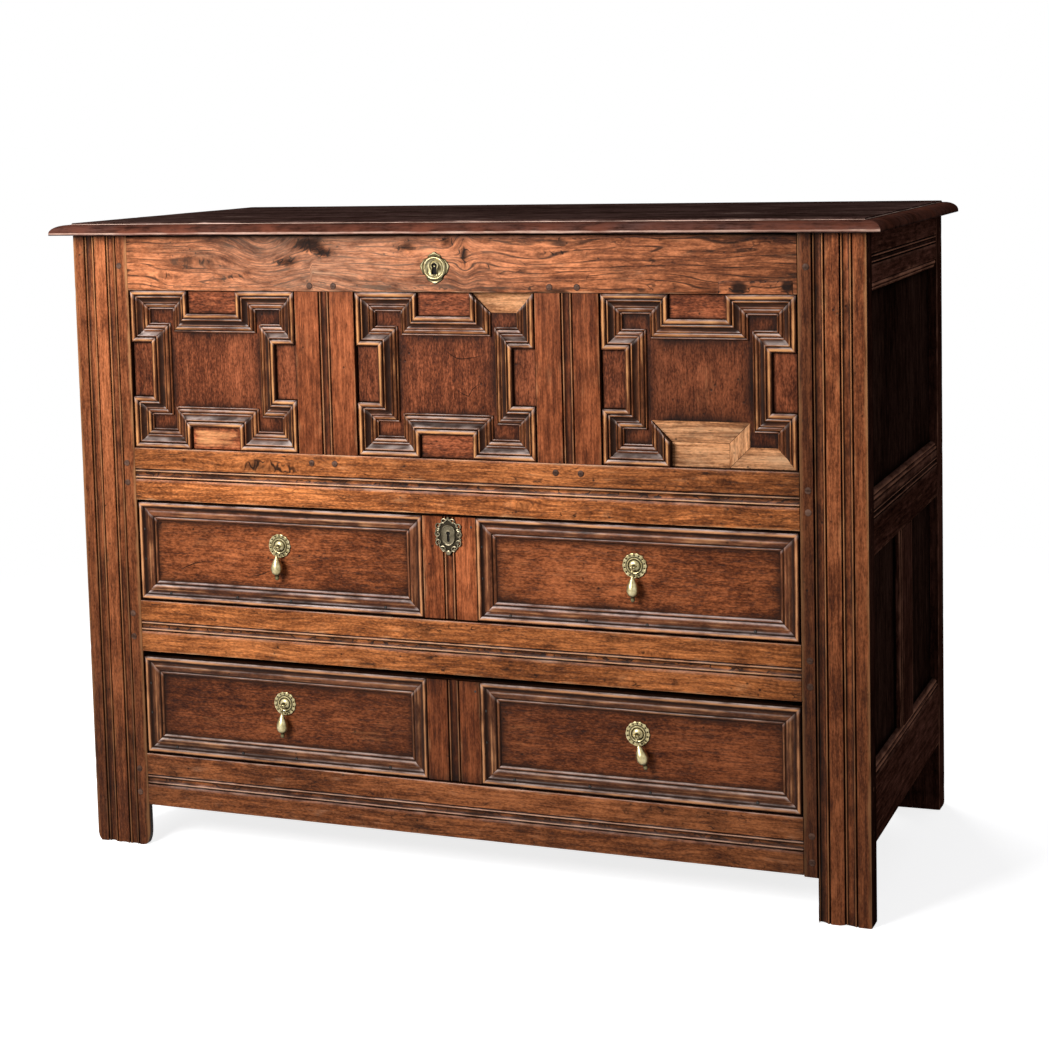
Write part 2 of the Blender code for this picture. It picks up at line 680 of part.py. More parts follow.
def lid():
    pivot = bpy.data.objects.new("lid_pivot", None)
    pivot.location = (0, hinge_y, hinge_z)
    parts.objects.link(pivot)
    joint_y = -lid_depth / 2 + lid_front_board
    tongue_z = around(lid_z + lid_thick / 2, lid_tongue_thick)
    ends = carcase_width / 2 - lid_round_width
    front_bm = lid_blank()
    trim(front_bm, joint_y, True)
    front = mesh_object("lid_board_front", front_bm, lid_oak)
    cut_boxes(front, [(around(0, 2 * (ends + fit)), (joint_y - lid_tongue_reach - fit, joint_y + reach),
                       grow(tongue_z))])
    back_bm = lid_blank()
    trim(back_bm, lid_depth / 2, True)
    trim(back_bm, joint_y + fit, False)
    back = mesh_object("lid_board_back", back_bm, lid_oak)
    join_box(back, around(0, 2 * ends), (joint_y - lid_tongue_reach, joint_y + reach), tongue_z)
    pieces = [front, back]
    for hand, sign in hands:
        middle = sign * (carcase_width / 2 - hinge_inset)
        strap_x = around(middle, strap_width)
        strap = board("hinge_strap_" + hand, strap_x, (hinge_y - strap_length, hinge_y), strap_z, iron)
        rod(strap, strap_x, hinge_y, hinge_z, knuckle_radius, "UNION")
        rod(strap, grow(strap_x, reach), hinge_y, hinge_z, pin_radius + fit, "DIFFERENCE")
        pieces.append(strap)
        leaf_x = around(middle, strap_width + 2 * knuckle_length + 2 * fit)
        leaf_y = span(back_y + fit, leaf_thick)
        leaf = board("hinge_leaf_" + hand, leaf_x, leaf_y, (hinge_z - leaf_height, hinge_z), iron)
        cut_boxes(leaf, [(grow(strap_x), grow(leaf_y, reach),
                          (hinge_z - knuckle_radius - 2 * fit, hinge_z + reach))])
        for end in (leaf_x[0] + knuckle_length / 2, leaf_x[1] - knuckle_length / 2):
            rod(leaf, around(end, knuckle_length), hinge_y, hinge_z, knuckle_radius, "UNION")
        rod(leaf, grow(leaf_x, -knuckle_length / 2), hinge_y, hinge_z, pin_radius, "UNION")
    return [(pivot, pieces)]


def drawer_front(name, z, height):
    bm = bmesh.new()
    half_height = height / 2
    base_set = strip_set + strip_thick / 2
    add_boxes(bm, [((-drawer_x, drawer_x), (base_set, drawer_front_thick), (-half_height, half_height))])
    score_front(bm, (1, 0, 0), strip_width / 2)
    for field in [f for f in front_faces(bm) if abs(f.calc_center_median().x) > strip_width / 2]:
        raise_moulding(bm, [field], base_set, drawer_bead_width, drawer_cove_width, drawer_field_set)
    front = mesh_object(name + "_front", bm, drawer_oak, (0, front_y, z + half_height))
    outline = section(strip_width - 2 * fit, strip_thick, ((strip_width / 2 - fit, strip_band_width),))
    strip = bar(name + "_strip", outline, height - 2 * fit, (1, 0, 0), (0, 1, 0),
                (-strip_width / 2 + fit, front_y + strip_set, z + half_height), None)
    shape_with(front, strip, "UNION")
    return front


def drawer(place, z, height):
    name = "drawer_" + place
    slide = bpy.data.objects.new(name + "_slide", None)
    slide.location = (0, front_y, z)
    parts.objects.link(slide)
    back_of_front = front_y + drawer_front_thick
    side_in = drawer_x - drawer_side_thick
    side_z = (z + drawer_side_rise, z + height - drawer_side_drop)
    bottom_z = span(side_z[0] + drawer_bottom_rise, drawer_bottom_thick)
    bottom_x = side_in + drawer_bottom_groove
    back_span = span(drawer_rear_y - drawer_back_inset - drawer_back_thick, drawer_back_thick)
    runner_z = around(z + runner_rise, runner_thick)
    front = drawer_front(name, z, height)
    cut_boxes(front, [(around(0, 2 * (side_in + fit)),
                       (back_of_front - drawer_bottom_groove - fit, back_of_front + reach), grow(bottom_z))])
    cut_boxes(front, [(mirrored((side_in - fit, drawer_x + reach), sign),
                       (back_of_front - drawer_rabbet, back_of_front + reach),
                       grow(span(z, height), reach)) for hand, sign in hands])
    pieces = [front]
    for hand, sign in hands:
        length_y = (back_of_front - drawer_rabbet + fit, drawer_rear_y)
        side_span = mirrored((side_in, drawer_x), sign)
        side = board(name + "_side_" + hand, side_span, length_y, side_z, inside_oak)
        cut_boxes(side, [
            (mirrored((drawer_x - runner_reach - 2 * fit, drawer_x + reach), sign),
             (side_y[0], drawer_rear_y + reach), (runner_z[0] - runner_play, runner_z[1] + fit)),
            (mirrored((side_in - reach, side_in + drawer_bottom_groove), sign),
             grow(length_y, reach), grow(bottom_z)),
        ])
        cut_boxes(side, [(mirrored((side_in - reach, side_in + drawer_dado), sign), grow(back_span),
                          (bottom_z[1], side_z[1] + reach))])
        pieces.append(side)
        runner = board("runner_" + place + "_" + hand, mirrored(runner_x, sign), grow(side_y, -fit), runner_z,
                       inside_oak)
        join_box(runner, mirrored((inner_x + runner_shoulder, runner_x[1] - runner_shoulder), sign),
                 grow(side_y, runner_tenon), around(z + runner_rise, runner_thick - 2 * runner_shoulder))
    pieces.append(board(name + "_bottom", around(0, 2 * (bottom_x - fit)),
                        (back_of_front - drawer_bottom_groove, drawer_rear_y), bottom_z, inside_oak))
    pieces.append(board(name + "_back", around(0, 2 * (side_in + drawer_dado - fit)), back_span,
                        (bottom_z[1] + fit, side_z[1]), inside_oak))
    return slide, pieces


def turned(name, profile, finish, location, tilt=(0, 0, 0)):
    # a profile of radius and height, turned about the piece's own Z axis
    bm = bmesh.new()
    verts = [bm.verts.new((r, 0.0, h)) for r, h in profile]
    for a, b in zip(verts, verts[1:]):
        bm.edges.new((a, b))
    obj = mesh_object(name, bm, finish, location)
    obj.rotation_euler = tilt
    screw = obj.modifiers.new("turning", "SCREW")
    screw.steps = round_steps
    screw.render_steps = round_steps
    screw.use_merge_vertices = True
    screw.merge_threshold = 0.00005
    return obj


def pull_plate(name, x, z):
    field_y = front_y + drawer_field_set - fit
    ear_top = pivot_stand + eye_radius - fit
    boss_top = rose_dome_height + rose_boss_height
    profile = [(0.0, boss_top), (rose_boss_radius, boss_top), (rose_boss_radius, rose_dome_height)]
    for i in range(1, profile_facets):
        turn = pi / 2 * i / profile_facets
        profile.append((rose_boss_radius + (rose_dome_radius - rose_boss_radius) * sin(turn),
                        rose_thick + (rose_dome_height - rose_thick) * cos(turn)))
    profile += [(rose_dome_radius, rose_thick), (rose_radius, rose_thick), (rose_radius, 0.0), (0.0, 0.0)]
    plate = turned(name, profile, brass, (x, field_y, z), (pi / 2, 0, 0))
    ear_y = (field_y - ear_top, field_y - rose_dome_height / 2)
    join_box(plate, around(x, ear_width), ear_y, around(z, ear_height))
    cut_boxes(plate, [(around(x, ear_slot), (ear_y[0] - reach, field_y - pivot_stand + eye_radius + 2 * fit),
                       around(z, ear_height + 2 * reach))])
    rod(plate, around(x, (ear_width + ear_slot) / 2), field_y - pivot_stand, z, pivot_radius, "UNION")
    return plate


def pull_drop(name, x, z, tilt):
    # a pear-shaped drop with a small finial, hanging loosely by its eye
    top = -(eye_radius + eye_bore) / 2
    profile = [(0.0, top), (neck_radius, top), (neck_radius, -neck_length)]
    for i in range(1, profile_facets + 1):
        turn = i / profile_facets
        profile.append((neck_radius + (drop_radius - neck_radius) * sin(pi / 2 * turn),
                        -neck_length - (drop_belly - neck_length) * turn))
    for i in range(1, profile_facets + 1):
        turn = i / profile_facets
        profile.append((waist_radius + (drop_radius - waist_radius) * (1 + cos(pi * turn)) / 2,
                        -drop_belly - (drop_waist - drop_belly) * turn))
    start = asin(waist_radius / finial_radius)
    for i in range(1, profile_facets):
        turn = start + (pi - start) * i / profile_facets
        fall = (cos(start) - cos(turn)) / (cos(start) + 1)
        profile.append((finial_radius * sin(turn), -drop_waist - (drop_length - drop_waist) * fall))
    profile.append((0.0, -drop_length))
    pivot_y = front_y + drawer_field_set - fit - pivot_stand
    drop = turned(name, profile, brass, (x, pivot_y, z), (0, tilt, 0))
    eye = (eye_radius, eye_width, "UNION")
    bore = (eye_bore, 2 * eye_width, "DIFFERENCE")
    for radius, width, operation in (eye, bore):
        bm = bmesh.new()
        bmesh.ops.create_cone(bm, cap_ends=True, segments=round_steps, radius1=radius, radius2=radius,
                              depth=width, matrix=Matrix.Rotation(pi / 2, 4, "Y"))
        helper = mesh_object(name + "_eye", bm, None, (x, pivot_y, z))
        helper.rotation_euler = (0, tilt, 0)
        shape_with(drop, helper, operation)
    return drop


def keyhole(rise):
    # a round hole with a slot below it
    points = []
    half_gap = keyhole_slot / 2 / keyhole_radius
    for i in range(2 * profile_facets + 1):
        a = pi * 1.5 + half_gap + (2 * pi - 2 * half_gap) * i / (2 * profile_facets)
        points.append((keyhole_radius * cos(a), rise + keyhole_radius * sin(a)))
    points.append((-keyhole_slot / 2, rise - keyhole_drop))
    points.append((keyhole_slot / 2, rise - keyhole_drop))
    return points


def scalloped(width, height, lobes):
    points = []
    for i in range(lobes * scallop_facets):
        a = 2 * pi * i / (lobes * scallop_facets)
        dip = scallop_depth * (0.5 - 0.5 * cos(lobes * a))
        points.append(((width / 2 - dip) * sin(a), (height / 2 - dip) * cos(a)))
    return points


def oval(middle, width, height):
    points = []
    for i in range(2 * profile_facets):
        a = pi * i / profile_facets
        points.append((middle[0] + width / 2 * cos(a), middle[1] + height / 2 * sin(a)))
    return points


def key_plate(name, outlines, place):
    plate = mesh_object(name, flat_mesh(name, outlines, plate_thick), brass)
    turn = Matrix(((1, 0, 0), (0, 0, -1), (0, 1, 0))).to_4x4()
    plate.matrix_world = Matrix.Translation(place) @ turn
    return plate


def lock_plate():
    rim = scalloped(2 * lock_plate_radius, 2 * lock_plate_radius, lock_plate_lobes)
    key_plate("lid_lock_plate", [rim, keyhole(lock_keyhole_rise)],
              (lock_plate_shift, front_y - fit - plate_thick / 2, top_rail_z + lock_plate_rise))


def drawer_key_plate(z, height):
    rim = scalloped(drawer_plate_width, drawer_plate_height, drawer_plate_lobes)
    outlines = [rim, keyhole(drawer_keyhole_rise)]
    for u in (-pierce_spread_x, pierce_spread_x):
        for v in (-pierce_spread_z, pierce_spread_z):
            outlines.append(oval((u, v), pierce_width, pierce_height))
    middle_z = z + height - drawer_plate_margin - drawer_plate_height / 2
    return key_plate("drawer_key_plate", outlines, (0, front_y + strip_set - fit - plate_thick / 2, middle_z))


def drawer_set():
    groups = []
    for place, z, height in drawers:
        slide, pieces = drawer(place, z, height)
        pull_z = z + height / 2 + pull_lift
        for hand, sign in hands:
            askew = place == "lower" and hand == "right"
            tilt = -drop_tilt_lower_right if askew else 0.0
            ending = place + "_" + hand
            pieces.append(pull_plate("pull_plate_" + ending, sign * pull_x, pull_z))
            pieces.append(pull_drop("pull_drop_" + ending, sign * pull_x, pull_z, tilt))
        if place == "upper":
            pieces.append(drawer_key_plate(z, height))
        groups.append((slide, pieces))
    return groups


def follow(pieces, parent):
    for piece in pieces:
        piece.parent = parent
        piece.matrix_parent_inverse = parent.matrix_world.inverted()


stiles()
front_frame()
front_panels()
side_frames()
back_and_floor()
lock_plate()
groups = lid() + drawer_set()
bpy.context.view_layer.update()
for obj in parts.objects:
    # each cutter follows the piece that it shapes
    follow([m.object for m in obj.modifiers if m.type == "BOOLEAN"], obj)
for joint, pieces in groups:
    follow(pieces, joint)
for obj in parts.objects:
    if obj.type == "MESH" and obj.name.startswith("pull_"):
        obj.data.shade_smooth()
        obj.data.set_sharp_from_angle(angle=radians(40))
print("pieces:", sum(obj.type == "MESH" for obj in parts.objects))
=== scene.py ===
from math import cos, exp, hypot, pi, radians, sin, sqrt

import bmesh
import bpy
from mathutils import Matrix, Vector, noise


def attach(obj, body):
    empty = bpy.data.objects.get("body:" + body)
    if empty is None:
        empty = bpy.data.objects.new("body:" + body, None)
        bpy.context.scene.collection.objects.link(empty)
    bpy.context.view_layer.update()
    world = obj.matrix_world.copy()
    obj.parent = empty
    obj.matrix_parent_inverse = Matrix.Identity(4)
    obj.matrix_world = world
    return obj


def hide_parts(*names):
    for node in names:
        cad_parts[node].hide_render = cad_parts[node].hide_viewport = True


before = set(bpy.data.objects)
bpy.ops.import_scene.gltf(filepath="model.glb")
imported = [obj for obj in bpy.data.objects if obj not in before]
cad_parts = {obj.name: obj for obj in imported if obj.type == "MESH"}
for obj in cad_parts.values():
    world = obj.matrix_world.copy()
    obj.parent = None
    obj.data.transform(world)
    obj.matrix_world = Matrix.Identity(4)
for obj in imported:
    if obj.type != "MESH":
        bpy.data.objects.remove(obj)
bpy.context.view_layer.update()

# the carcase in metres: X runs along the front, Y to the back, Z up from the floor
coffer = {
    "halfWidth": 0.610, "innerX": 0.516, "topZ": 0.9445,
    "frontY": -0.272, "backY": 0.288,
    "sideX": 0.6085, "sideFrontY": -0.240, "sideBackY": 0.246,
    "railThick": 0.028, "stileThick": 0.032, "backStileWide": 0.0935, "gap": 0.0003,
}
frontY = coffer["frontY"]
innerX = coffer["innerX"]
gap = coffer["gap"]
hands = (("left", -1), ("right", 1))


# nodes of a finish

def addNode(tree, kind, feeds=None, output=0, **settings):
    node = tree.nodes.new("ShaderNode" + kind)
    for key, value in settings.items():
        setattr(node, key, value)
    for key, feed in (feeds or {}).items():
        if isinstance(feed, bpy.types.NodeSocket):
            tree.links.new(feed, node.inputs[key])
        else:
            node.inputs[key].default_value = feed
    return node.outputs[output]


def figured(tree, operation, a, b, c=0.0):
    return addNode(tree, "Math", {0: a, 1: b, 2: c}, operation=operation)


def ranged(tree, value, low, high, toLow=0.0, toHigh=1.0):
    feeds = {"Value": value, "From Min": low, "From Max": high, "To Min": toLow, "To Max": toHigh}
    return addNode(tree, "MapRange", feeds, interpolation_type="SMOOTHSTEP")


def mixed(tree, amount, under, over, blend="MIX"):
    feeds = {0: amount, 6: under, 7: over}
    return addNode(tree, "Mix", feeds, 2, data_type="RGBA", blend_type=blend)


def cloudy(tree, place, along, across, detail=3.0, rough=0.55):
    stretched = addNode(tree, "VectorMath", {0: place, 1: (along, across, across)}, operation="MULTIPLY")
    feeds = {"Vector": stretched, "Scale": 1.0, "Detail": detail, "Roughness": rough}
    return addNode(tree, "TexNoise", feeds)


def shaded(tree, value, shades):
    ramp = tree.nodes.new("ShaderNodeValToRGB")
    stops = ramp.color_ramp.elements
    while len(stops) < len(shades):
        stops.new(0.5)
    for stop, (place, colour) in zip(stops, shades):
        stop.position = place
        stop.color = (*colour, 1.0)
    tree.links.new(value, ramp.inputs["Fac"])
    return ramp.outputs["Color"]


def parted(tree, vector):
    axes = tree.nodes.new("ShaderNodeSeparateXYZ")
    tree.links.new(vector, axes.inputs[0])
    return axes.outputs


def newFinish(name):
    finish = bpy.data.materials.new(name)
    finish.use_nodes = True
    return finish, finish.node_tree, finish.node_tree.nodes["Principled BSDF"]


def grainPlace(tree, source):
    # new pieces carry their grain with them, CAD boards take it from their own axes
    if source == "grain":
        return addNode(tree, "Attribute", None, "Vector", attribute_name="grain")
    axes = parted(tree, addNode(tree, "TexCoord", None, "Object"))
    order = {"X": "XYZ", "Y": "YXZ", "Z": "ZXY"}[source]
    return addNode(tree, "CombineXYZ", {i: axes[axis] for i, axis in enumerate(order)})


def ageOf(tree):
    # wear, tone and tint of the new pieces, the tone carrying the boards' own tones and painted light and
    # shade, the tint a painted sheen and the lid edge's redder colour; CAD boards have none
    return tuple(parted(tree, addNode(tree, "Attribute", None, "Vector", attribute_name="age")))


def shadesOf(colour):
    r, g, b = colour
    return ((0.16, (0.26 * r, 0.21 * g, 0.20 * b)), (0.42, (0.76 * r, 0.72 * g, 0.70 * b)),
            (0.60, (1.32 * r, 1.36 * g, 1.40 * b)), (0.86, (2.0 * r, 2.2 * g, 2.4 * b)))


oakBase = {
    "cloud": 0.75, "streak": 0.85, "mottle": 0.65, "grit": 0.45, "pore": 0.45, "smoke": 0.22, "pit": 0.8,
    "holes": 80.0,
    "line": 0.16, "lineRate": 120.0, "lineBend": 3.2, "lineEdge": 0.35, "lineBreak": (0.40, 0.60),
    "bendAlong": 1.9, "bendAcross": 7.0, "scrawl": 0.0,
    "rub": 0.88, "dirt": 0.92, "hazed": 0.85, "depth": 0.25, "brightest": 1.4,
    "rough": 0.40, "bump": 0.40, "relief": 0.0007, "gloss": 0.08, "coat": 0.03, "coatRough": 0.25,
    "grime": (0.024, 0.0085, 0.0040), "worn": (0.66, 0.32, 0.13), "haze": (0.56, 0.43, 0.40),
}

# each layer of the figure: scale along and across the grain, detail and roughness
oakFigure = {
    "cloud": (3.0, 9.0, 3.0, 0.55), "streak": (14.0, 210.0, 3.0, 0.62), "mottle": (34.0, 80.0, 3.0, 0.62),
    "grit": (190.0, 460.0, 2.0, 0.6), "pore": (50.0, 640.0, 2.0, 0.55), "smoke": (11.0, 19.0, 4.0, 0.66),
    "stroke": (34.0, 62.0, 2.0, 0.55),
}
# where each mark on the oak begins and where it is full
oakMarks = {
    "pore": (0.55, 0.70), "smoke": (0.50, 0.74), "hole": (0.20, 0.08), "holePatch": (0.52, 0.60),
    "stroke": (0.034, 0.010), "strokeKnot": (-0.04, -0.40), "age": (0.10, 0.95),
    "bloom": (0.25, 0.62, 0.25, 1.0),
}


def oakFinish(name, look, source="grain"):
    look = {**oakBase, **look}
    finish, tree, shader = newFinish(name)
    place = grainPlace(tree, source)
    wear, tone, haze = ageOf(tree)
    layers = ("cloud", "streak", "mottle", "grit", "pore", "smoke")
    cloud, streak, mottle, grit, pore, smoke = [cloudy(tree, place, *oakFigure[key]) for key in layers]
    bend = cloudy(tree, place, look["bendAlong"], look["bendAcross"], 2.0)
    grime = (*look["grime"], 1.0)

    def marked(colour, mark, amount, over=grime):
        return mixed(tree, figured(tree, "MULTIPLY", mark, amount), colour, over)

    figure = ((cloud, "cloud"), (streak, "streak"), (mottle, "mottle"), (grit, "grit"))
    shade = 0.5 - 0.5 * sum(look[key] for layer, key in figure)
    for layer, key in figure:
        shade = figured(tree, "MULTIPLY_ADD", layer, look[key], shade)
    colour = shaded(tree, shade, shadesOf(look["colour"]))

    # dark growth lines that follow the figure, then pores, smoke stains and worm holes
    turn = figured(tree, "MULTIPLY", parted(tree, place)["Y"], look["lineRate"] * 2 * pi)
    turn = figured(tree, "MULTIPLY_ADD", bend, look["lineBend"] * 2 * pi, turn)
    line = ranged(tree, figured(tree, "SINE", turn, 0.0), look["lineEdge"], 1.0)
    line = figured(tree, "MULTIPLY", line, ranged(tree, mottle, *look["lineBreak"]))
    poreMask = ranged(tree, pore, *oakMarks["pore"])
    hole = addNode(tree, "TexVoronoi", {"Vector": place, "Scale": look["holes"]}, "Distance")
    hole = ranged(tree, hole, *oakMarks["hole"])
    hole = figured(tree, "MULTIPLY", hole, ranged(tree, smoke, *oakMarks["holePatch"]))
    colour = marked(colour, line, look["line"])
    colour = marked(colour, poreMask, look["pore"])
    colour = marked(colour, ranged(tree, smoke, *oakMarks["smoke"]), look["smoke"])
    colour = marked(colour, hole, look["pit"])
    if look["scrawl"]:
        # torn dark strokes in and beside a knot
        scrawl = figured(tree, "SUBTRACT", cloudy(tree, place, *oakFigure["stroke"]), 0.5)
        scrawl = ranged(tree, figured(tree, "ABSOLUTE", scrawl, 0.0), *oakMarks["stroke"])
        scrawl = figured(tree, "MULTIPLY", scrawl, ranged(tree, wear, *oakMarks["strokeKnot"]))
        colour = marked(colour, scrawl, look["scrawl"])

    # handled ridges turn pale, worn and partly a painted highlight; sheltered corners and hollows darken,
    # dirt and partly painted shade
    broken = figured(tree, "MULTIPLY_ADD", streak, 0.9, -0.45)
    patchy = figured(tree, "MULTIPLY_ADD", smoke, 1.0, -0.50)
    rubbed = figured(tree, "ADD", figured(tree, "ADD", wear, broken), patchy)
    rubbed = ranged(tree, rubbed, *oakMarks["age"])
    dirtAndShade = ranged(tree, figured(tree, "SUBTRACT", patchy, wear), *oakMarks["age"])
    colour = marked(colour, rubbed, look["rub"], (*look["worn"], 1.0))
    colour = marked(colour, dirtAndShade, look["dirt"])
    # the tint is a painted sheen on upward faces and on the top rail, and the lid edge's redder colour
    bloom = figured(tree, "MULTIPLY", haze, ranged(tree, mottle, *oakMarks["bloom"]))
    colour = marked(colour, bloom, look["hazed"], (*look["haze"], 1.0))
    # the tone scales the colour, with painted light and shade in it; old polish deepens the darks and clears
    # the lights about the board's own shade
    r, g, b = look["colour"]
    boardShade = 0.213 * r + 0.715 * g + 0.072 * b
    light = figured(tree, "DIVIDE", addNode(tree, "RGBToBW", {0: colour}), boardShade)
    light = figured(tree, "MINIMUM", figured(tree, "POWER", light, look["depth"]), look["brightest"])
    lift = figured(tree, "MULTIPLY", figured(tree, "ADD", tone, 1.0), light)
    colour = addNode(tree, "VectorMath", {0: colour, "Scale": lift}, operation="SCALE")
    tree.links.new(colour, shader.inputs["Base Color"])

    rough = figured(tree, "MULTIPLY_ADD", streak, 0.25, look["rough"] - 0.125)
    rough = figured(tree, "MULTIPLY_ADD", dirtAndShade, 0.18, rough)
    rough = figured(tree, "MULTIPLY_ADD", rubbed, -0.06, rough)
    tree.links.new(rough, shader.inputs["Roughness"])
    height = figured(tree, "MULTIPLY_ADD", streak, 0.6, figured(tree, "MULTIPLY", grit, 0.3))
    height = figured(tree, "SUBTRACT", figured(tree, "SUBTRACT", height, poreMask), hole)
    bump = {"Strength": look["bump"], "Distance": look["relief"], "Height": height}
    tree.links.new(addNode(tree, "Bump", bump), shader.inputs["Normal"])
    sockets = {"Specular IOR Level": "gloss", "Coat Weight": "coat", "Coat Roughness": "coatRough"}
    for socket, key in sockets.items():
        shader.inputs[socket].default_value = look[key]
    return finish


# scales, detail and roughness of the metal's patches and grit, then where tarnish begins and is full
metalFigure = {
    "patch": (140.0, 140.0, 4.0, 0.65), "grit": (900.0, 900.0, 2.0, 0.55), "tarnish": (-0.05, 0.95),
    "darkest": 0.05, "relief": 0.0003,
}


def metalFinish(name, look):
    # worn metal: bright where it is handled, dull and dark in its hollows
    finish, tree, shader = newFinish(name)
    place = addNode(tree, "TexCoord", None, "Object")
    wear, tone = ageOf(tree)[:2]
    patch = cloudy(tree, place, *metalFigure["patch"])
    grit = cloudy(tree, place, *metalFigure["grit"])
    colour = shaded(tree, patch, look["shades"])
    tarnish = ranged(tree, figured(tree, "SUBTRACT", patch, wear), *metalFigure["tarnish"])
    colour = mixed(tree, figured(tree, "MULTIPLY", tarnish, look["tarnish"]), colour, (*look["grime"], 1.0))
    # the tone scales the colour: painted light and shade by the way each face turns
    lift = figured(tree, "MAXIMUM", figured(tree, "ADD", tone, 1.0), metalFigure["darkest"])
    colour = addNode(tree, "VectorMath", {0: colour, "Scale": lift}, operation="SCALE")
    tree.links.new(colour, shader.inputs["Base Color"])
    rough = figured(tree, "MULTIPLY_ADD", patch, 0.30, look["rough"] - 0.15)
    rough = figured(tree, "MULTIPLY_ADD", tarnish, 0.25, rough)
    tree.links.new(rough, shader.inputs["Roughness"])
    height = figured(tree, "ADD", grit, patch)
    bump = {"Strength": look["bump"], "Distance": metalFigure["relief"], "Height": height}
    tree.links.new(addNode(tree, "Bump", bump), shader.inputs["Normal"])
    shader.inputs["Metallic"].default_value = look["metal"]
    return finish


frameOak = oakFinish("frameOak", {"colour": (0.338, 0.098, 0.034), "worn": (0.58, 0.26, 0.105), "grit": 0.6})
railOak = oakFinish("railOak", {
    "colour": (0.385, 0.120, 0.034), "worn": (0.66, 0.37, 0.19), "line": 0.35, "scrawl": 0.9, "grit": 0.7,
})
# a darker copy of the rail oak: painted shade of the light falling off towards the floor
footRailOak = oakFinish("footRailOak", {
    "colour": (0.235, 0.073, 0.024), "worn": (0.54, 0.32, 0.20), "smoke": 0.4, "grit": 0.7, "scrawl": 0.8,
})
topRailOak = oakFinish("topRailOak", {
    "colour": (0.425, 0.134, 0.050), "worn": (0.64, 0.36, 0.20), "haze": (0.62, 0.39, 0.26),
    "line": 0.80, "lineRate": 95.0, "lineBend": 6.5, "lineEdge": 0.68, "lineBreak": (0.36, 0.54),
    "bendAlong": 3.6, "bendAcross": 24.0, "cloud": 1.05, "mottle": 0.9, "smoke": 0.5, "scrawl": 0.95,
})
muntinOak = oakFinish("muntinOak", {"colour": (0.285, 0.075, 0.025), "worn": (0.50, 0.24, 0.11)})
fieldOak = oakFinish("fieldOak", {
    "colour": (0.236, 0.062, 0.023), "streak": 0.5, "mottle": 0.75, "grit": 0.95, "line": 0.05,
})
stickOak = oakFinish("stickOak", {
    "colour": (0.165, 0.052, 0.019), "worn": (0.62, 0.290, 0.110), "haze": (0.70, 0.59, 0.54),
    "rub": 0.95, "rough": 0.34, "gloss": 0.10,
})
drawerOak = oakFinish("drawerOak", {
    "colour": (0.274, 0.075, 0.024), "streak": 0.55, "mottle": 0.75, "grit": 0.95, "line": 0.12,
})
drawerStickOak = oakFinish("drawerStickOak", {
    "colour": (0.155, 0.050, 0.020), "worn": (0.60, 0.280, 0.122), "haze": (0.78, 0.66, 0.62),
    "rub": 0.9, "rough": 0.34, "gloss": 0.10,
})
# darker copies of the drawer oaks for the lower drawer: painted shade of the light falling off towards the
# floor
lowDrawerOak = oakFinish("lowDrawerOak", {
    "colour": (0.174, 0.047, 0.0155), "streak": 0.55, "mottle": 0.75, "grit": 0.95, "line": 0.2,
})
lowDrawerStickOak = oakFinish("lowDrawerStickOak", {
    "colour": (0.110, 0.037, 0.015), "worn": (0.50, 0.232, 0.101), "haze": (0.66, 0.53, 0.47),
    "rub": 0.85, "rough": 0.36, "gloss": 0.10,
})
# the lid's worn colour is pale enough to be wear and a painted highlight on its arrises
lidOak = oakFinish("lidOak", {
    "colour": (0.060, 0.031, 0.025), "worn": (0.68, 0.47, 0.37), "grime": (0.008, 0.004, 0.003),
    "haze": (0.185, 0.056, 0.032), "hazed": 0.95, "streak": 1.1, "rough": 0.46, "gloss": 0.0, "coat": 0.0,
})
# dark copies of the oak for the ends: painted shade, as the ends face away from the light
sideOak = oakFinish("sideOak", {
    "colour": (0.042, 0.018, 0.012), "worn": (0.18, 0.078, 0.045), "grime": (0.008, 0.004, 0.003),
    "haze": (0.12, 0.07, 0.05), "gloss": 0.0, "coat": 0.0,
})
sideFrameOak = oakFinish("sideFrameOak", {
    "colour": (0.086, 0.031, 0.020), "worn": (0.34, 0.155, 0.095), "grime": (0.008, 0.004, 0.003),
    "haze": (0.20, 0.11, 0.08), "gloss": 0.0, "coat": 0.0,
})
bareOak = oakFinish("bareOak", {
    "colour": (0.560, 0.242, 0.101), "rough": 0.62, "coat": 0.0, "smoke": 0.35, "worn": (0.74, 0.45, 0.25),
})
insideLook = {
    "colour": (0.210, 0.125, 0.070), "worn": (0.40, 0.28, 0.18), "grime": (0.030, 0.018, 0.010),
    "haze": (0.36, 0.28, 0.21), "rough": 0.68, "coat": 0.0, "smoke": 0.35, "line": 0.25,
}
insideOak = {source: oakFinish("insideOak" + source, insideLook, source) for source in "XYZ"}
insideOak["grain"] = oakFinish("insideOak", insideLook)
pegOak = oakFinish("pegOak", {"colour": (0.085, 0.042, 0.027), "worn": (0.16, 0.085, 0.058)})
brass = metalFinish("oldBrass", {
    "shades": ((0.30, (0.27, 0.215, 0.100)), (0.50, (0.45, 0.375, 0.195)), (0.75, (0.66, 0.585, 0.365))),
    "grime": (0.030, 0.023, 0.010), "tarnish": 0.95, "rough": 0.32, "bump": 0.12, "metal": 1.0,
})
dullBrass = metalFinish("dullBrass", {
    "shades": ((0.30, (0.085, 0.070, 0.042)), (0.50, (0.20, 0.165, 0.105)), (0.75, (0.42, 0.36, 0.24))),
    "grime": (0.016, 0.012, 0.008), "tarnish": 0.95, "rough": 0.36, "bump": 0.2, "metal": 1.0,
})
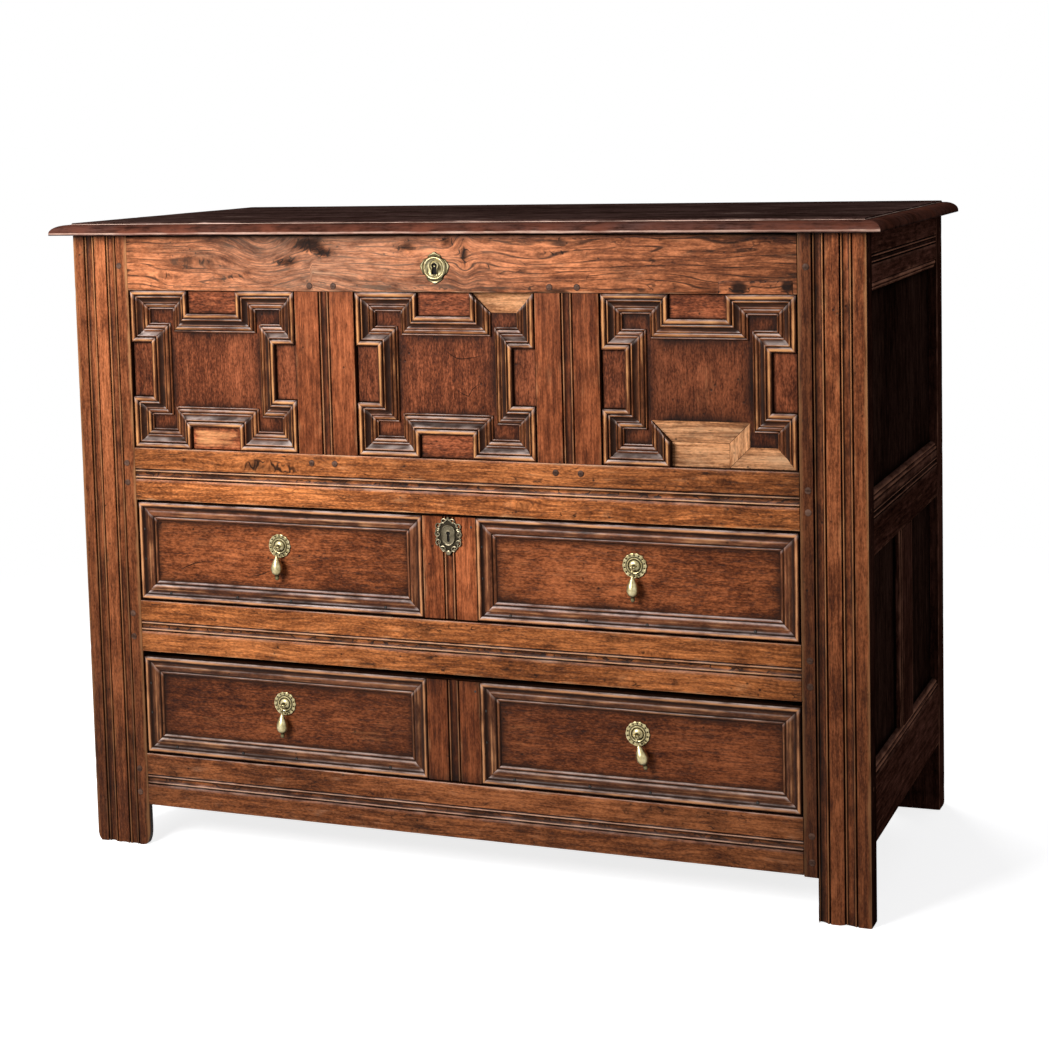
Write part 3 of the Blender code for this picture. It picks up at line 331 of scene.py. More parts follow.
darkIron = metalFinish("darkIron", {
    "shades": ((0.30, (0.020, 0.018, 0.017)), (0.55, (0.048, 0.044, 0.042)), (0.80, (0.110, 0.080, 0.060))),
    "grime": (0.012, 0.010, 0.009), "tarnish": 0.7, "rough": 0.58, "bump": 0.5, "metal": 0.85,
})
print("finishes ready")


# meshes that remember their grain and wear, and painted light, shade and sheen

wearAndPaintedLight = {
    # painted light and shade on brass: lighter on faces turned up, left and forward, darker on the others; a
    # painted sheen whitens faces that look upwards, less where the wear is dark
    "dusted": Vector((-0.40, -0.35, 0.85)).normalized(), "evenGlint": 0.36,
    "ledgeFrom": 0.22, "ledgeOver": 0.45, "cleanOver": 0.35,
    "wave": 0.00025, "nick": 0.0018, "nickFrom": 0.26, "faceShare": 0.62,
    "patches": 0.24, "flecks": 0.26, "knotClears": 1.6, "backSoot": -0.1, "twist": 0.00002,
}


def clamped(value):
    return min(1.0, max(0.0, value))


def fading(away, reach):
    return exp(-max(0.0, away) / reach)


def hump(away, width):
    return exp(-(away / width) ** 2)


def newPile():
    return {"points": [], "faces": [], "grain": [], "age": []}


def addPoint(pile, point, grain, wear, tone=0.0, haze=0.0):
    pile["points"].append(point)
    pile["grain"].append(grain)
    pile["age"].append([wear, tone, haze])
    return len(pile["points"]) - 1


def makePiece(name, pile, finish, body, stands=(), crease=32.0, upwardSheen=0.0, flank=None, paintedLighting=0.0):
    mesh = bpy.data.meshes.new(name)
    mesh.from_pydata(pile["points"], [], pile["faces"])
    grain = mesh.attributes.new("grain", "FLOAT_VECTOR", "POINT")
    grain.data.foreach_set("vector", [value for place in pile["grain"] for value in place])
    bm = bmesh.new()
    bm.from_mesh(mesh)
    bmesh.ops.recalc_face_normals(bm, faces=bm.faces)
    bm.to_mesh(mesh)
    bm.free()
    for age, normal, point in zip(pile["age"], mesh.vertex_normals, pile["points"]):
        # painted sheen on faces that look upwards, and painted light and shade on metal by the way each face
        # turns
        rise = clamped((normal.vector.z - wearAndPaintedLight["ledgeFrom"]) / wearAndPaintedLight["ledgeOver"])
        rise *= clamped((age[0] + 1.0) / wearAndPaintedLight["cleanOver"])
        age[2] += upwardSheen * rise * (0.75 + 0.5 * ripple(point[0] * 17, point[1] * 60, point[2] * 60))
        age[1] += paintedLighting * (normal.vector.dot(wearAndPaintedLight["dusted"]) - wearAndPaintedLight["evenGlint"])
    age = mesh.attributes.new("age", "FLOAT_VECTOR", "POINT")
    age.data.foreach_set("vector", [value for three in pile["age"] for value in three])
    mesh.shade_smooth()
    mesh.set_sharp_from_angle(angle=radians(crease))
    mesh.materials.append(finish)
    if flank:
        # faces that look the other way have a finish of their own
        other, way = flank
        mesh.materials.append(other)
        for face in mesh.polygons:
            face.material_index = 1 if face.normal.dot(way) > 0.85 else 0
    piece = bpy.data.objects.new(name, mesh)
    bpy.context.scene.collection.objects.link(piece)
    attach(piece, body)
    if stands:
        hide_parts(*stands)
    return piece


def ripple(x, y, z=0.0):
    return noise.noise(Vector((x, y, z)))


def wornDepth(s, u, wear, seed):
    slow = 0.5 + 0.5 * ripple(s * 7, u * 25, seed)
    nick = max(0.0, ripple(s * 60, u * 120, seed + 5) - wearAndPaintedLight["nickFrom"])
    return wearAndPaintedLight["wave"] * slow + wearAndPaintedLight["nick"] * nick * max(0.0, wear)


def level(value):
    return lambda u: value


def even(value):
    return lambda u, v: value


def flatTone(tone):
    return lambda s, u: (tone, 0.0)


noTone = flatTone(0.0)


def straight(s, u):
    return s, u, 0.0


def joinRings(pile, rings):
    # faces between rings of points; a ring of one point is a tip
    for a, b in zip(rings, rings[1:]):
        count = max(len(a), len(b))
        for i in range(count):
            j = (i + 1) % count
            if len(a) == 1:
                pile["faces"].append((a[0], b[j], b[i]))
            elif len(b) == 1:
                pile["faces"].append((a[i], a[j], b[0]))
            else:
                pile["faces"].append((a[i], a[j], b[j], b[i]))


def sweep(pile, outline, place, start, stop, step=0.008, seed=0.0, extra=(), shape=None, toneAt=noTone,
          flow=straight):
    # draws a closed outline of (u, d, wear) along a length; start and stop depend on u at a mitre
    thick = max(d for u, d, wear in outline)
    middle = sum(u for u, d, wear in outline) / len(outline)
    first = start(middle)
    last = stop(middle)
    count = max(2, round(abs(last - first) / step))
    marks = {i / count for i in range(count + 1)} | {(value - first) / (last - first) for value in extra}
    rings = []
    for t in sorted(marks):
        ring = []
        for u, d, wear in outline:
            s = start(u) + (stop(u) - start(u)) * t
            tone, haze = toneAt(s, u)
            along, across, knot = flow(s, u)
            sunk = d
            if d < wearAndPaintedLight["faceShare"] * thick:
                sunk += wornDepth(s, u, wear, seed)
                wear += wearAndPaintedLight["patches"] * ripple(s * 14, u * 60, seed + 3)
                wear += wearAndPaintedLight["flecks"] * ripple(s * 52, u * 90, seed + 6) - knot
            haze *= max(0.0, 1 - wearAndPaintedLight["knotClears"] * knot)
            spot = shape(s, u, sunk) if shape else (s, u, sunk)
            grain = (along + seed, across + 0.37 * seed, d)
            ring.append(addPoint(pile, place(*spot), grain, wear, tone, haze))
        rings.append(ring)
    joinRings(pile, rings)
    pile["faces"].append(tuple(reversed(rings[0])))
    pile["faces"].append(tuple(rings[-1]))


def steps(low, high, step):
    count = max(1, round((high - low) / step))
    return [low + (high - low) * i / count for i in range(count + 1)]


def plate(pile, uLines, vLines, place, front, back, wearAt, seed=0.0, along="u", toneAt=noTone, rough=1.0):
    # a board with a worked face: front and back give the depth at (u, v)
    fronts = []
    backs = []
    for u in uLines:
        frontRow = []
        backRow = []
        for v in vLines:
            wear = wearAt(u, v)
            tone, haze = toneAt(u, v)
            d = front(u, v) + rough * wornDepth(u, v, 0.0, seed)
            grain = (u, v) if along == "u" else (v, u)
            grain = (grain[0] + seed, grain[1] + 0.37 * seed, d)
            frontRow.append(addPoint(pile, place(u, v, d), grain, wear, tone, haze))
            deep = back(u, v)
            grain = (grain[0], grain[1], deep)
            backRow.append(addPoint(pile, place(u, v, deep), grain, min(wear, wearAndPaintedLight["backSoot"]), tone))
        fronts.append(frontRow)
        backs.append(backRow)
    rows = len(uLines)
    columns = len(vLines)
    for i in range(rows - 1):
        for j in range(columns - 1):
            a, b, c, d = fronts[i][j], fronts[i + 1][j], fronts[i + 1][j + 1], fronts[i][j + 1]
            depth = [front(uLines[p], vLines[q]) for p, q in ((i, j), (i + 1, j), (i + 1, j + 1), (i, j + 1))]
            twist = abs(depth[0] - depth[2]) - abs(depth[1] - depth[3])
            if abs(twist) < wearAndPaintedLight["twist"]:
                pile["faces"].append((a, b, c, d))
            elif twist > 0:
                pile["faces"] += [(a, b, c), (a, c, d)]
            else:
                pile["faces"] += [(a, b, d), (b, c, d)]
            pile["faces"].append((backs[i][j], backs[i][j + 1], backs[i + 1][j + 1], backs[i + 1][j]))
    rim = [(i, 0) for i in range(rows)] + [(rows - 1, j) for j in range(1, columns)]
    rim += [(i, columns - 1) for i in range(rows - 2, -1, -1)] + [(0, j) for j in range(columns - 2, 0, -1)]
    for (i, j), (p, q) in zip(rim, rim[1:] + rim[:1]):
        pile["faces"].append((fronts[i][j], fronts[p][q], backs[p][q], backs[i][j]))


def turned(pile, profile, centre, axes, segments=32, flute=None):
    # a profile of (radius, height, wear) turned about the third axis; flute bends it round the turn
    across, up, out = (Vector(axis) for axis in axes)
    centre = Vector(centre)
    rings = []
    for radius, height, wear in profile:
        if radius == 0.0:
            point = centre + out * height
            rings.append([addPoint(pile, point, tuple(point), wear)])
            continue
        ring = []
        for i in range(segments):
            angle = 2 * pi * i / segments
            r, h, w = flute(angle, radius, height, wear) if flute else (radius, height, wear)
            point = centre + across * r * cos(angle) + up * r * sin(angle) + out * h
            ring.append(addPoint(pile, point, tuple(point), w))
        rings.append(ring)
    joinRings(pile, rings)
    for ring in (rings[0], rings[-1]):
        if len(ring) > 1:
            pile["faces"].append(tuple(ring))


def wire(pile, path, radius, sides=10, wear=0.2, closed=False):
    # a round wire along a path of points
    path = [Vector(point) for point in path]
    count = len(path)
    rings = []
    normal = None
    for k, point in enumerate(path):
        after = path[(k + 1) % count] if closed or k < count - 1 else point
        before = path[k - 1] if closed or k > 0 else point
        forward = (after - before).normalized()
        if normal is None:
            normal = forward.orthogonal().normalized()
        normal = (normal - forward * normal.dot(forward)).normalized()
        side = forward.cross(normal)
        thick = radius(k / (count - 1)) if callable(radius) else radius
        ring = []
        for i in range(sides):
            angle = 2 * pi * i / sides
            spot = point + normal * thick * cos(angle) + side * thick * sin(angle)
            ring.append(addPoint(pile, spot, tuple(spot), wear))
        rings.append(ring)
    joinRings(pile, rings + rings[:1] if closed else rings)
    if not closed:
        pile["faces"] += [tuple(rings[0]), tuple(rings[-1])]


def onFrontAlongX(s, u, d):
    return (s, frontY + d, u)


def onFrontAlongZ(s, u, d):
    return (u, frontY + d, s)


frontAxes = ((1, 0, 0), (0, 0, 1), (0, -1, 0))


# sections of boards, as rows of (u, d, wear)

def bandRows(middle, width, hollow):
    # a scratch-cut band: two fine ridges with a hollow between them and a black line outside each
    half = width / 2
    side = [(0.0, 0.0, 0.25), (0.0006, 0.0012, -0.9), (0.0014, 0.0030, -1.4), (0.0023, 0.0013, -0.8),
            (0.0030, 0.0004, 0.6), (0.0036, 0.0001, 0.95), (0.0044, 0.0006, 0.5), (0.0051, 0.0020, -0.9),
            (0.0068, 0.0026, hollow)]
    rows = [(middle - half + u, d, wear) for u, d, wear in side]
    rows.append((middle, 0.0030, 0.7 * hollow))
    return rows + [(middle + half - u, d, wear) for u, d, wear in reversed(side)]


def edgeRows(edge, inward):
    # a moulded edge: a hollow chamfer and a bead, as the side frames have round their panels
    side = [(0.0, 0.0085, -0.5), (0.0016, 0.0050, 0.2), (0.0040, 0.0030, 0.6), (0.0056, 0.0026, 0.8),
            (0.0066, 0.0042, -1.0), (0.0078, 0.0018, 0.2), (0.0100, 0.0008, 0.8), (0.0122, 0.0014, 0.4),
            (0.0132, 0.0030, -1.0), (0.0146, 0.0, 0.35)]
    return [(edge + inward * u, d, wear) for u, d, wear in side]


def flatRows(low, high, step, grime, fade=0.005):
    rows = []
    for u in steps(low, high, step)[1:-1]:
        rows.append((u, 0.0, -grime * exp(-min(u - low, high - u) / fade)))
    return rows


def arrisRows(edge, inward, arris, rub):
    return [(edge, arris, 0.3 * rub), (edge + inward * 0.35 * arris, 0.3 * arris, rub),
            (edge + inward * arris, 0.0, 0.6 * rub)]


def boardOutline(low, high, thick, bands=(), arris=0.0012, rub=0.45, grime=0.30, moulds=(False, False),
                 fine=0.006, hollow=-0.65, sides=(-1.1, -1.1)):
    # moulds tells which edges are moulded, sides how dark the edges' own faces are
    rows = edgeRows(low, 1) if moulds[0] else arrisRows(low, 1, arris, rub)
    end = edgeRows(high, -1) if moulds[1] else arrisRows(high, -1, arris, rub)
    lowEdge = rows[0][1] + 0.0007
    highEdge = end[0][1] + 0.0007
    cursor = rows[-1][0]
    for middle, width in bands:
        rows += flatRows(cursor, middle - width / 2, fine, grime)
        rows += bandRows(middle, width, hollow)
        cursor = middle + width / 2
    rows += flatRows(cursor, end[-1][0], fine, grime)
    rows += list(reversed(end))
    rows += [(high, highEdge, sides[1]), (high, 0.5 * thick, sides[1]), (high, thick, -0.45)]
    return rows + [(low, thick, -0.45), (low, 0.5 * thick, sides[0]), (low, lowEdge, sides[0])]


# front frame

rails = {
    "front_bottom_rail": {"low": 0.065, "high": 0.146, "band": 0.017, "dim": 0.10,
                          "finish": footRailOak, "seed": 1.3},
    "front_drawer_rail": {"low": 0.307, "high": 0.386, "band": 0.017, "dim": 0.05,
                          "finish": railOak, "seed": 2.9},
    "front_middle_rail": {"low": 0.542, "high": 0.622, "band": 0.017, "dim": -0.32,
                          "finish": railOak, "seed": 4.1},
    "front_top_rail": {"low": 0.862, "high": 0.9432, "band": 0.0, "dim": 0.0,
                       "finish": topRailOak, "seed": 5.7},
}
topRail = rails["front_top_rail"]
# painted shade: the rails darken towards the right, as the light falls off, and are darker at their ends
railShade = {"rightFade": 0.14, "endDark": 0.35, "endReach": 0.022}
topRailLook = {
    "tone": 0.06, "rightFade": 0.42, "endDark": 0.22, "endReach": 0.03, "soot": 0.85, "sootDepth": 0.0022,
    "dry": 0.38, "dryX": -0.17, "dryReach": 0.37,
    "swirl": 0.030, "swirlX": -0.285, "swirlReach": 0.050, "swirlRise": 0.06,
    "fanX": -0.205, "fanZ": 0.915, "fan": 0.9, "fanReach": 0.09,
}
# knots: place, half length, half height and how dark
knots = {
    "front_top_rail": ((-0.208, 0.930, 0.050, 0.022, 1.1), (-0.246, 0.905, 0.040, 0.014, 0.9),
                       (-0.184, 0.918, 0.030, 0.016, 0.8), (-0.052, 0.926, 0.032, 0.017, 0.8),
                       (0.010, 0.934, 0.026, 0.016, 0.9), (0.036, 0.916, 0.014, 0.034, 0.8),
                       (-0.395, 0.906, 0.060, 0.014, 0.35), (-0.450, 0.884, 0.040, 0.012, 0.4),
                       (0.185, 0.918, 0.060, 0.007, 0.55), (0.060, 0.900, 0.050, 0.006, 0.4),
                       (-0.330, 0.884, 0.050, 0.007, 0.45), (-0.120, 0.880, 0.060, 0.006, 0.4)),
    "front_middle_rail": ((-0.300, 0.602, 0.085, 0.020, 0.62), (0.120, 0.560, 0.040, 0.010, 0.35),
                          (0.400, 0.606, 0.060, 0.010, 0.35)),
    "front_drawer_rail": ((0.300, 0.360, 0.036, 0.010, 0.45),),
    "front_bottom_rail": ((-0.120, 0.118, 0.040, 0.010, 0.45),),
}

knotPull = {"across": 0.80, "along": 0.25, "core": 5, "waver": 0.006}


def knotFlow(node):
    def flow(s, u):
        # grain lines part and close again round each knot
        along = s
        across = u
        dark = 0.0
        if node == "front_top_rail":
            look = topRailLook
            climb = clamped((u - topRail["low"]) / look["swirlRise"])
            across += look["swirl"] * hump(s - look["swirlX"], look["swirlReach"]) * climb
            if s > look["fanX"]:
                across += look["fan"] * (u - look["fanZ"]) * exp(-(s - look["fanX"]) / look["fanReach"])
        for x, z, length, height, depth in knots[node]:
            near = exp(-((s - x) / length) ** 2 - ((u - z) / height) ** 2)
            across -= knotPull["across"] * (u - z) * near
            along += knotPull["along"] * (s - x) * near
            dark += depth * exp(-(((s - x) / length) ** 2 + ((u - z) / height) ** 2) * knotPull["core"])
        return along, across + knotPull["waver"] * ripple(s * 9, u * 14, 2.0), dark
    return flow


def topRailTone(s, u):
    # a painted sheen, paler from the left end to the lock; painted shade, darker to the right where the light
    # falls off, and darker at the ends; a painted shadow, black under the lid
    look = topRailLook
    dry = look["dry"] * max(0.0, 1 - abs(s - look["dryX"]) / look["dryReach"])
    tone = look["tone"] - look["rightFade"] * max(0.0, s)
    tone -= look["endDark"] * exp(-(innerX - abs(s)) / look["endReach"])
    return tone - look["soot"] * hump(topRail["high"] - u, look["sootDepth"]), dry


for node, rail in rails.items():
    pile = newPile()
    middle = 0.5 * (rail["low"] + rail["high"])
    isTop = rail is topRail

    def railTone(s, u):
        lower = rail["dim"] if u < middle else 0.0
        ends = railShade["endDark"] * exp(-(innerX - abs(s)) / railShade["endReach"])
        return -lower - railShade["rightFade"] * max(0.0, s / innerX) - ends, 0.0

    bands = () if isTop else ((middle, rail["band"]),)
    outline = boardOutline(rail["low"], rail["high"], coffer["railThick"], bands, rub=0.5, fine=0.004)
    sweep(pile, outline, onFrontAlongX, level(-innerX + gap), level(innerX - gap), 0.004, rail["seed"],
          toneAt=topRailTone if isTop else railTone, flow=knotFlow(node))
    makePiece(node + "_oak", pile, rail["finish"], "carcase", (node,), upwardSheen=0.55)

muntins = {
    "x": 0.18783, "width": 0.095, "band": 0.019, "low": 0.6223, "high": 0.8617,
    "endDark": 0.30, "endReach": 0.012,
}


def muntinTone(s, u):
    end = min(s - muntins["low"], muntins["high"] - s)
    return -muntins["endDark"] * exp(-end / muntins["endReach"]), 0.0


for hand, sign in hands:
    pile = newPile()
    x = sign * muntins["x"]
    half = muntins["width"] / 2
    outline = boardOutline(x - half, x + half, coffer["railThick"], ((x, muntins["band"]),), rub=0.5)
    sweep(pile, outline, onFrontAlongZ, level(muntins["low"]), level(muntins["high"]), 0.006, 11.0 + sign,
          toneAt=muntinTone)
    node = "front_muntin_" + hand
    makePiece(node + "_oak", pile, muntinOak, "carcase", (node,))

stiles = {
    "width": 0.094, "band": 0.0190, "flat": 0.01867, "hollow": -0.42,
    "innerRound": (0.010, 0.026), "outerChip": (0.007, 0.010),  # worn corners of the left foot
    "lostWidth": 0.021, "lostHeight": 0.063,  # strip split off the right foot
    "unevenFoot": 0.0035, "pareHeight": 0.0645, "pareDepth": 0.010,
    "flats": {"left": (-0.32, 0.04, -0.22), "right": (-0.60, 0.04, -0.08)},  # tones of the three flats
    "footTone": {"left": -0.56, "right": -0.55}, "footTop": 0.15, "footFade": 0.72,
    "soot": 0.8, "sootDepth": 0.0024, "soleReach": 0.022, "outside": -0.15, "inside": -1.1,
}


def held(value, low, high):
    # keeps a point inside the worn outline without folding the faces flat
    if value < low:
        return low + 0.03 * (value - low)
    return high + 0.03 * (value - high) if value > high else value


def unevenSole(s, u, d):
    if s >= stiles["soleReach"]:
        return s
    hollow = max(0.0, 0.15 + ripple(u * 70, d * 70, 3.3))
    return s + (1 - s / stiles["soleReach"]) * stiles["unevenFoot"] * hollow


def leftFoot(s, u, d):
    high = -innerX
    low = -coffer["halfWidth"]
    width, height = stiles["innerRound"]
    if s < height:
        high -= width * (1 - sqrt(max(0.0, 1 - ((height - s) / height) ** 2)))
    width, height = stiles["outerChip"]
    if s < height:
        low += width * (1 - s / height)
    if s < stiles["pareHeight"]:
        # the inner back corner is pared away below the rail
        d = min(d, stiles["pareDepth"] + 0.8 * max(0.0, -innerX - u))
    return unevenSole(s, u, d), held(u, low, high), d


def rightFoot(s, u, d):
    low = innerX
    if s < stiles["lostHeight"]:
        low += stiles["lostWidth"] + 0.0012 * ripple(s * 90, d * 90, 8.0)
    return unevenSole(s, u, d), held(u, low, coffer["halfWidth"]), d


for hand, sign in hands:
    pile = newPile()
    low = innerX if sign > 0 else -coffer["halfWidth"]
    high = low + stiles["width"]
    first = stiles["flat"] + stiles["band"] / 2
    bands = ((low + first, stiles["band"]), (high - first, stiles["band"]))
    faces = (stiles["inside"], stiles["outside"])[::sign]
    outline = boardOutline(low, high, coffer["stileThick"], bands, rub=1.1, arris=0.0020,
                           hollow=stiles["hollow"], sides=faces)
    foot = rightFoot if sign > 0 else leftFoot
    flats = stiles["flats"][hand]

    def stileTone(s, u):
        across = 0.5 + (u - 0.5 * (bands[0][0] + bands[1][0])) / stiles["width"]
        flat = flats[0] if across < 0.30 else flats[2] if across > 0.70 else flats[1]
        # painted shade: darker towards the foot, as the light falls off downwards
        low = 1 - clamped((s - stiles["footTop"]) / stiles["footFade"])
        shade = 1 - stiles["soot"] * hump(coffer["topZ"] - s, stiles["sootDepth"])  # painted shadow under the lid
        return (1 + flat) * (1 + stiles["footTone"][hand] * low) * shade - 1, 0.0

    extra = [0.002, 0.005, 0.012, 0.02, coffer["topZ"] - 0.0015, coffer["topZ"] - 0.0035]
    cut = stiles["lostHeight"] if sign > 0 else stiles["pareHeight"]
    extra += [cut - 0.0003, cut + 0.0003]
    sweep(pile, outline, onFrontAlongZ, level(0.0), level(coffer["topZ"]), 0.007, 20.0 + 3 * sign, extra,
          foot, stileTone)
    node = "stile_front_" + hand
    # the outer side face takes the ends' dark finish: painted shade
    makePiece(node + "_oak", pile, frameOak, "carcase", (node,),
              flank=(sideFrameOak, Vector((sign, 0, 0))))
print("front frame done")


# mitred moulding sticks, drawn inwards from the corners of an outline

def stickRows(profile, ground):
    rows = [(profile[0][0], ground, -1.0)]
    rows += list(profile)
    rows.append((profile[-1][0], ground, -1.0))
    return rows


def sticksRound(pile, corners, centre, profile, ground, seed, skip=(), slack=0.00015, step=0.005):
    count = len(corners)
    ways = []
    for i in range(count):
        a = Vector(corners[i])
        b = Vector(corners[(i + 1) % count])
        ways.append(((b - a).length, (b - a).normalized()))
    for i in range(count):
        if i in skip:
            continue
        length, way = ways[i]
        before = ways[i - 1][1]
        after = ways[(i + 1) % count][1]
        opens = 1 if before.x * way.y - before.y * way.x > 0 else -1
        closes = 1 if way.x * after.y - way.y * after.x > 0 else -1
        corner = corners[i]
        sink = 0.0003 * (0.5 + 0.5 * ripple(i * 3.7, seed))

        def place(s, u, d):
            x = centre[0] + corner[0] + way.x * s - way.y * u
            z = centre[1] + corner[1] + way.y * s + way.x * u
            return (x, frontY + d, z)

        sweep(pile, [(u, d + sink, wear) for u, d, wear in stickRows(profile, ground)], place,
              lambda u: slack + opens * u, lambda u: length - slack - closes * u, step, seed + 1.7 * i)


panels = {
    "x": (-0.37567, 0.0, 0.37567), "z": 0.742, "halfWidth": 0.1382, "halfHeight": 0.1193,
    "notchHalf": 0.041, "notchDepth": 0.034, "ground": 0.013, "back": 0.022, "fieldHalf": (0.1403, 0.12),
    "glued": 0.0132, "block": 0.007, "blockArris": 0.0009, "blockSlack": 0.0003,
    # section of the moulding from its outer edge inwards
    "profile": (
        (0.0001, 0.0028, -1.2), (0.0006, 0.0013, -0.7), (0.0018, 0.0003, 0.15), (0.0036, 0.0, 0.74),
        (0.0054, 0.0003, 0.35), (0.0066, 0.0010, -0.4), (0.0073, 0.0024, -1.1), (0.0080, 0.0036, -1.5),
        (0.0087, 0.0026, -0.6), (0.0095, 0.0021, 0.45), (0.0105, 0.0022, 0.15), (0.0112, 0.0036, -0.8),
        (0.0126, 0.0055, -0.85), (0.0146, 0.0069, -0.80), (0.0166, 0.0075, -0.70), (0.0177, 0.0073, -0.3),
        (0.0185, 0.0069, 0.40), (0.0193, 0.0074, -0.4), (0.0200, 0.0086, -1.3), (0.0207, 0.0077, -0.3),
        (0.0220, 0.0070, 0.25), (0.0236, 0.0072, 0.38), (0.0248, 0.0080, 0.0), (0.0256, 0.0095, -1.0),
        (0.0262, 0.0107, -1.4), (0.0268, 0.0100, -0.2), (0.0276, 0.0097, 0.28), (0.0285, 0.0104, -0.2),
        (0.0290, 0.0116, -1.0),
    ),
    "lost": {"left": (), "centre": (10,), "right": (2, 3, 4)},  # sticks that are gone
    "lostBlock": {"right": "bottom"},
    "blockTone": {"top": 0.10, "bottom": 0.15, "left": -0.20, "right": -0.15},
    "rubbedBlock": "left", "rubbed": 0.12,  # its bottom block is worn bright
    # each field's lightness, the right one darker as a painted shade where the light falls off; painted shade
    # close to the mouldings
    "fieldTone": {"left": 0.0, "centre": 0.12, "right": -0.24}, "cornerDark": 0.62, "cornerReach": 0.017,
    "scarFace": 0.0124,
    "scar": ((0.0, 0.0128, -0.3), (0.0006, 0.0124, 0.2), (0.007, 0.0124, 0.3), (0.014, 0.0124, 0.35),
             (0.021, 0.0124, 0.3), (0.0284, 0.0124, 0.1), (0.0290, 0.0128, -0.4)),
}


def panelCorners():
    a = panels["halfWidth"]
    b = panels["halfHeight"]
    n = panels["notchHalf"]
    k = panels["notchDepth"]
    half = [(-a, -b), (-n, -b), (-n, -b + k), (n, -b + k), (n, -b)]
    half += [(a, -b), (a, -n), (a - k, -n), (a - k, n), (a, n)]
    return half + [(-x, -z) for x, z in half]


def fromSegment(x, z, a, b):
    dx = b[0] - a[0]
    dz = b[1] - a[1]
    t = clamped(((x - a[0]) * dx + (z - a[1]) * dz) / (dx * dx + dz * dz))
    return hypot(x - a[0] - t * dx, z - a[1] - t * dz)


def fromEdges(u, v, us, vs):
    return min(u - us[0], us[1] - u, v - vs[0], vs[1] - v)


def insideEdge(x, z, corners):
    return min(fromSegment(x, z, a, b) for a, b in zip(corners, corners[1:] + corners[:1]))


corners = panelCorners()
mouldWidth = panels["profile"][-1][0]
for index, place in enumerate(("left", "centre", "right")):
    x = panels["x"][index]
    z = panels["z"]
    seed = 31.0 + 7 * index
    lost = panels["lost"][place]
    lostBlock = panels["lostBlock"].get(place)
    node = "front_panel_" + place

    # painted shade on the field just inside the mouldings
    def fieldEdgeShade(u, v):
        return 0.02 - 0.75 * fading(insideEdge(u - x, v - z, corners) - mouldWidth, 0.0075)

    def fieldTone(u, v):
        away = insideEdge(u - x, v - z, corners) - mouldWidth
        return panels["fieldTone"][place] - panels["cornerDark"] * fading(away, panels["cornerReach"]), 0.0

    pile = newPile()
    wide, tall = panels["fieldHalf"]
    plate(pile, steps(x - wide, x + wide, 0.0052), steps(z - tall, z + tall, 0.0052), onFrontAlongX,
          even(panels["ground"]), even(panels["back"]), fieldEdgeShade, seed, "v", fieldTone)
    makePiece(node + "_field", pile, fieldOak, "carcase", (node,))

    pile = newPile()
    sticksRound(pile, corners, (x, z), panels["profile"], panels["glued"], seed, lost)
    makePiece(node + "_sticks", pile, stickOak, "carcase", upwardSheen=0.9)

    n = panels["notchHalf"] - panels["blockSlack"]
    a = panels["halfWidth"]
    b = panels["halfHeight"]
    k = panels["notchDepth"] - panels["blockSlack"]
    blocks = {"top": ((-n, n), (b - k, b), "u"), "bottom": ((-n, n), (-b, -b + k), "u"),
              "left": ((-a, -a + k), (-n, n), "v"), "right": ((a - k, a), (-n, n), "v")}
    pile = newPile()
    for side, (us, vs, along) in blocks.items():
        if lostBlock == side:
            continue
        rubbed = side == "bottom" and place == panels["rubbedBlock"]

        def blockFront(u, v):
            return panels["block"] + (arris if fromEdges(u - x, v - z, us, vs) < 0.0002 else 0.0)

        # painted shade along each block's edges beside the moulding; the rubbed block is worn pale
        def blockWearAndShade(u, v):
            return (0.52 if rubbed else 0.10) - 0.75 * exp(-fromEdges(u - x, v - z, us, vs) / 0.005)

        arris = panels["blockArris"]
        lines = []
        for low, high in ((us[0] + x, us[1] + x), (vs[0] + z, vs[1] + z)):
            lines.append([low, low + arris] + steps(low, high, 0.005)[1:-1] + [high - arris, high])
        tone = panels["blockTone"][side] + (panels["rubbed"] if rubbed else 0.0)
        plate(pile, *lines, onFrontAlongX, blockFront, even(panels["glued"]), blockWearAndShade, seed + len(side),
              along, flatTone(tone))
    makePiece(node + "_blocks", pile, fieldOak, "carcase")

    if lost:
        # pale ground where glued sticks came off
        pile = newPile()
        kept = tuple(i for i in range(len(corners)) if i not in lost)
        sticksRound(pile, corners, (x, z), panels["scar"], panels["glued"], seed + 3, kept, 0.0004)
        if lostBlock:
            us, vs, along = blocks[lostBlock]
            plate(pile, steps(us[0] + x, us[1] + x, 0.006), steps(vs[0] + z, vs[1] + z, 0.006), onFrontAlongX,
                  even(panels["scarFace"]), even(panels["glued"]), even(0.3), seed + 4)
        makePiece(node + "_scar", pile, bareOak, "carcase")
print("panels done")


def pegHead(pile, centre, axes, radius, rise, seed, sides=11):
    profile = ((radius * 1.02, -0.0012, -0.8), (radius, 0.25 * rise, -0.3),
               (radius * 0.86, 0.75 * rise, 0.35), (radius * 0.5, rise, 0.5), (0.0, rise * 0.92, 0.2))

    def whittled(angle, r, h, wear):
        return r * (1 + 0.07 * ripple(cos(angle) * 2, sin(angle) * 2, seed)), h, wear

    turned(pile, profile, centre, axes, sides, whittled)


# drawer fronts

